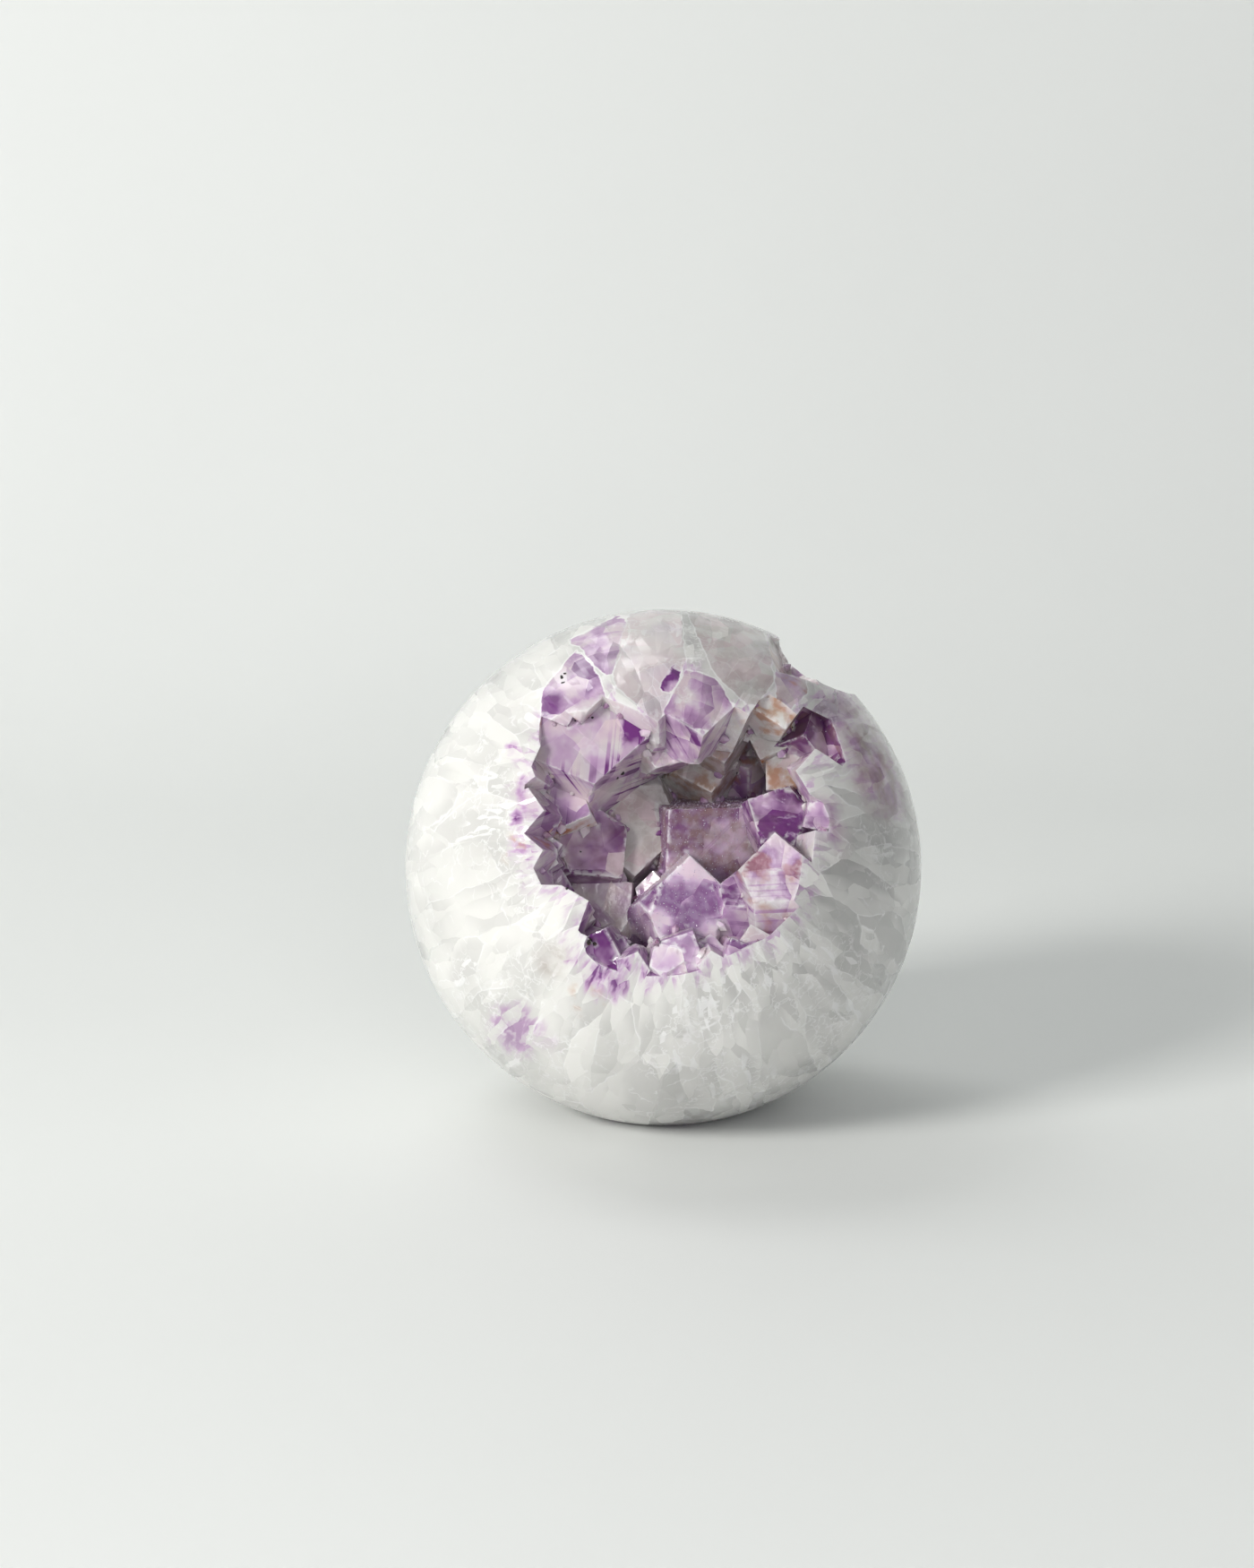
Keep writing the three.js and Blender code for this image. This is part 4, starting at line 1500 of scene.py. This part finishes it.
@dataclass
class SmallShapes:
    """The small shapes that are strewn: a quartz point, a grain and a healed crack, each one unit wide."""

    sides: int = 6

    def point(self) -> bpy.types.Mesh:
        """Makes a stubby six-sided point with an uneven tip, its root below the surface.

        Returns:
            Its mesh.
        """
        root, shoulder, drop, tip = -0.55, 0.3, 0.22, (0.09, 0.05, 0.86)
        rings = [[], []]
        for side in range(self.sides):
            turn = side * 2 * math.pi / self.sides
            place = (0.5 * math.cos(turn), 0.5 * math.sin(turn))
            rings[0].append((*place, root))
            rings[1].append((*place, shoulder - drop * (side % 2)))
        verts = [*rings[0], *rings[1], tip]
        faces = [tuple(reversed(range(self.sides)))]
        for side in range(self.sides):
            after = (side + 1) % self.sides
            faces.append((side, after, self.sides + after, self.sides + side))
            faces.append((self.sides + side, self.sides + after, 2 * self.sides))
        return self._mesh("small_point", verts, faces)

    def grain(self) -> bpy.types.Mesh:
        """Makes an eight-sided grain, a little flat.

        Returns:
            Its mesh.
        """
        verts = [(0.5, 0, 0), (0, 0.42, 0.05), (-0.46, 0, 0), (0, -0.5, -0.04)]
        verts += [(0.06, 0, 0.4), (0, 0.04, -0.3)]
        ring = [(side, (side + 1) % 4) for side in range(4)]
        faces = [(a, b, 4) for a, b in ring] + [(b, a, 5) for a, b in ring]
        return self._mesh("grain", verts, faces)

    def crack(self) -> bpy.types.Mesh:
        """Makes a thin uneven sheet, closed all round.

        Returns:
            Its mesh.
        """
        reach = (0.5, 0.34, 0.46, 0.28, 0.5, 0.4)
        thin = 0.012
        turns = [side * 2 * math.pi / self.sides for side in range(self.sides)]
        verts = [(r * math.cos(t), r * math.sin(t), 0.0) for r, t in zip(reach, turns)]
        verts += [(0.0, 0.0, thin), (0.0, 0.0, -thin)]
        ring = [(side, (side + 1) % self.sides) for side in range(self.sides)]
        faces = [(a, b, self.sides) for a, b in ring] + [(b, a, self.sides + 1) for a, b in ring]
        return self._mesh("crack", verts, faces)

    def _mesh(self, name: str, verts: list[Triple], faces: list[tuple[int, ...]]) -> bpy.types.Mesh:
        """Makes a mesh.

        Args:
            name: Its name.
            verts: Its corners.
            faces: The corners' numbers, for each face.

        Returns:
            The mesh.
        """
        mesh = bpy.data.meshes.new(name)
        mesh.from_pydata(verts, [], faces)
        return mesh


@dataclass
class Specks:
    """The black specks of iron oxide that sit on the facets."""

    roughness: float = 0.35
    sunk: float = 0.25
    lump_scale: float = 2.4

    def build(self, stone: bpy.types.Object) -> bpy.types.Object:
        """Sets each speck on what lies under it.

        Args:
            stone: The stone that they sit on.

        Returns:
            One object that holds them all.
        """
        shape = bmesh.new()
        draw = np.random.default_rng(5)
        inward = Vector(-FACE.axes[2])
        for x, y, across in SPECKS:
            start = Vector(FACE.to_world(np.array([(x, y, 2 * FACE.ball_radius)]))[0])
            hit, place, normal, _ = stone.ray_cast(start, inward)
            if not hit:
                continue
            lump = bmesh.ops.create_icosphere(shape, subdivisions=2, radius=across / 2 * MM)["verts"]
            shift = draw.uniform(-50, 50, 3)
            for vert in lump:
                place_in_noise = Vector(shift) + vert.co / MM * self.lump_scale / across
                swell = 1 + self.roughness * 2 * noise.noise(place_in_noise)
                vert.co = vert.co * swell + place - normal * self.sunk * across * MM
        mesh = bpy.data.meshes.new("specks")
        shape.to_mesh(mesh)
        shape.free()
        mesh.materials.append(iron_oxide())
        return placed("specks", mesh)


@dataclass(frozen=True)
class Lamp:
    """A square soft light that looks at the stone."""

    name: str
    place: Triple
    size: float
    power: float
    colour: Triple

    def build(self) -> None:
        """Puts the light in the scene."""
        lamp = bpy.data.lights.new(self.name, "AREA")
        lamp.size = self.size
        lamp.energy = self.power
        lamp.color = self.colour
        light = bpy.data.objects.new(self.name, lamp)
        light.location = self.place
        light.rotation_euler = (FACE.centre - Vector(self.place)).to_track_quat("-Z", "Y").to_euler()
        bpy.context.scene.collection.objects.link(light)


@dataclass
class Studio:
    """A pale floor that curves up behind the stone, soft lights, and the camera."""

    elevation_deg: float = 11.5
    distance: float = 0.647
    lens: float = 85.0
    sensor: float = 36.0
    aim_left: float = 6.34 * MM
    aim_up: float = 14.5 * MM
    floor_colour: Triple = (0.86, 0.88, 0.86)
    air_colour: Triple = (0.93, 0.97, 1.0)
    air_strength: float = 0.20

    LAMPS = (
        Lamp("key", (-0.90, -0.82, 0.62), 0.40, 14.0, (1.0, 0.985, 0.96)),
        Lamp("front", (0.12, -1.15, 0.42), 0.55, 3.2, (1.0, 0.98, 1.0)),
        Lamp("fill", (0.95, -0.75, 0.55), 0.9, 0.2, (0.93, 0.96, 1.0)),
        Lamp("back", (-0.35, 0.55, 0.95), 0.6, 4.0, (1.0, 1.0, 1.0)),
    )
    FLOOR_DRIFT = 0.97
    LIGHT_PATHS = {
        "max_bounces": 6,
        "diffuse_bounces": 2,
        "glossy_bounces": 2,
        "transmission_bounces": 5,
        "sample_clamp_indirect": 6.0,
    }

    def build(self) -> None:
        """Builds the floor, the lights and the camera."""
        self._floor()
        for lamp in self.LAMPS:
            lamp.build()
        world = bpy.data.worlds.new("studio")
        world.use_nodes = True
        air = world.node_tree.nodes["Background"].inputs
        air["Color"].default_value = (*self.air_colour, 1.0)
        air["Strength"].default_value = self.air_strength
        scene = bpy.context.scene
        scene.world = world
        scene.view_settings.view_transform = "Standard"
        for name, value in self.LIGHT_PATHS.items():
            setattr(scene.cycles, name, value)
        self._camera()

    def _floor(self) -> None:
        """A floor and a wall in one sheet, joined by a wide curve."""
        half, front, back, height, bend, steps = 1.6, -1.4, 0.55, 1.6, 0.3, 16
        turns = [step * math.pi / 2 / steps for step in range(steps + 1)]
        profile = [(front, 0.0)]
        profile += [(back - bend + bend * math.sin(t), bend - bend * math.cos(t)) for t in turns]
        profile.append((back, height))
        verts = [(side, y, z) for y, z in profile for side in (-half, half)]
        faces = [(2 * i, 2 * i + 1, 2 * i + 3, 2 * i + 2) for i in range(len(profile) - 1)]
        mesh = bpy.data.meshes.new("floor")
        mesh.from_pydata(verts, [], faces)
        mesh.polygons.foreach_set("use_smooth", [True] * len(mesh.polygons))
        graph = ShaderGraph("floor")
        deep = tuple(self.FLOOR_DRIFT * part for part in self.floor_colour)
        colour = graph.blend(graph.rise(graph.noise(3, 3), 0.3, 0.7), self.floor_colour, deep)
        shader = graph.add("ShaderNodeBsdfPrincipled", {"Base Color": colour, "Roughness": 0.6})
        graph.add("ShaderNodeOutputMaterial", {"Surface": shader.outputs[0]})
        mesh.materials.append(graph.material)
        placed("floor", mesh)

    def _camera(self) -> None:
        """The camera, where the photograph was taken from."""
        rise = math.radians(self.elevation_deg)
        towards = Vector((0.0, -math.cos(rise), math.sin(rise)))
        up = Vector((0.0, math.sin(rise), math.cos(rise)))
        data = bpy.data.cameras.new("camera")
        data.lens = self.lens
        data.sensor_fit = "VERTICAL"
        data.sensor_height = self.sensor
        camera = bpy.data.objects.new("camera", data)
        aim = FACE.centre - Vector((self.aim_left, 0, 0)) + up * self.aim_up
        camera.location = aim + towards * self.distance
        camera.rotation_euler = (-towards).to_track_quat("-Z", "Y").to_euler()
        bpy.context.scene.collection.objects.link(camera)
        bpy.context.scene.camera = camera


def ramp(values: np.ndarray, start: float, full: float) -> np.ndarray:
    """A share that grows evenly from 0 at start to 1 at full."""
    return np.clip((values - start) / (full - start), 0, 1)


def placed(name: str, mesh: bpy.types.Mesh) -> bpy.types.Object:
    """Puts a mesh in the scene, at the origin.

    Args:
        name: The object's name.
        mesh: Its mesh.

    Returns:
        The object.
    """
    thing = bpy.data.objects.new(name, mesh)
    bpy.context.scene.collection.objects.link(thing)
    return thing


def store(mesh: bpy.types.Mesh, name: str, domain: str, values: np.ndarray) -> None:
    """Writes one number for each corner or vertex of a mesh."""
    attribute = mesh.attributes.new(name, "FLOAT", domain)
    attribute.data.foreach_set("value", values.astype(np.float32))


def keep(piece: bpy.types.Object) -> None:
    """Fixes a finished piece to the body, and reports it.

    Args:
        piece: The piece.
    """
    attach(piece, BODY)
    LOG.info("%s: %d faces", piece.name, len(piece.data.polygons))


def main() -> None:
    """Builds the stone, what lies on and in it, and the studio."""
    logging.basicConfig(level=logging.INFO, format="%(name)s: %(message)s")
    quartz = QuartzFinish().material()
    shapes = SmallShapes()
    stone = Stone().build(quartz)
    keep(stone)
    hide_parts(NODE)
    druse = Strewn(
        "druse",
        Cover.DRUSE,
        density=2.6e5,
        sizes=(0.7 * MM, 2.0 * MM),
        lean=0.55,
        seed=4,
        tones={
            Tone.VIOLET: (0.15, 0.75),
            Tone.SMOKE: (0.0, 0.35),
            Tone.RUST: (0.0, 0.1),
            Tone.MILK: (0.0, 0.6),
        },
    )
    keep(druse.build(stone, shapes.point(), quartz))
    grains = Strewn("grains", Cover.GRAINS, density=1.6e6, sizes=(0.12 * MM, 0.32 * MM), lean=3.1, seed=9)
    keep(grains.build(stone, shapes.grain(), sparkling_grain()))
    veils = Strewn(
        "veils",
        Cover.VEILS,
        density=3.0e4,
        sizes=(1.2 * MM, 4.5 * MM),
        lean=1.2,
        depths=(2.6 * MM, 7 * MM),
        seed=2,
    )
    keep(veils.build(stone, shapes.crack(), healed_crack()))
    keep(Specks().build(stone))
    Studio().build()


if __name__ == "__main__":
    main()
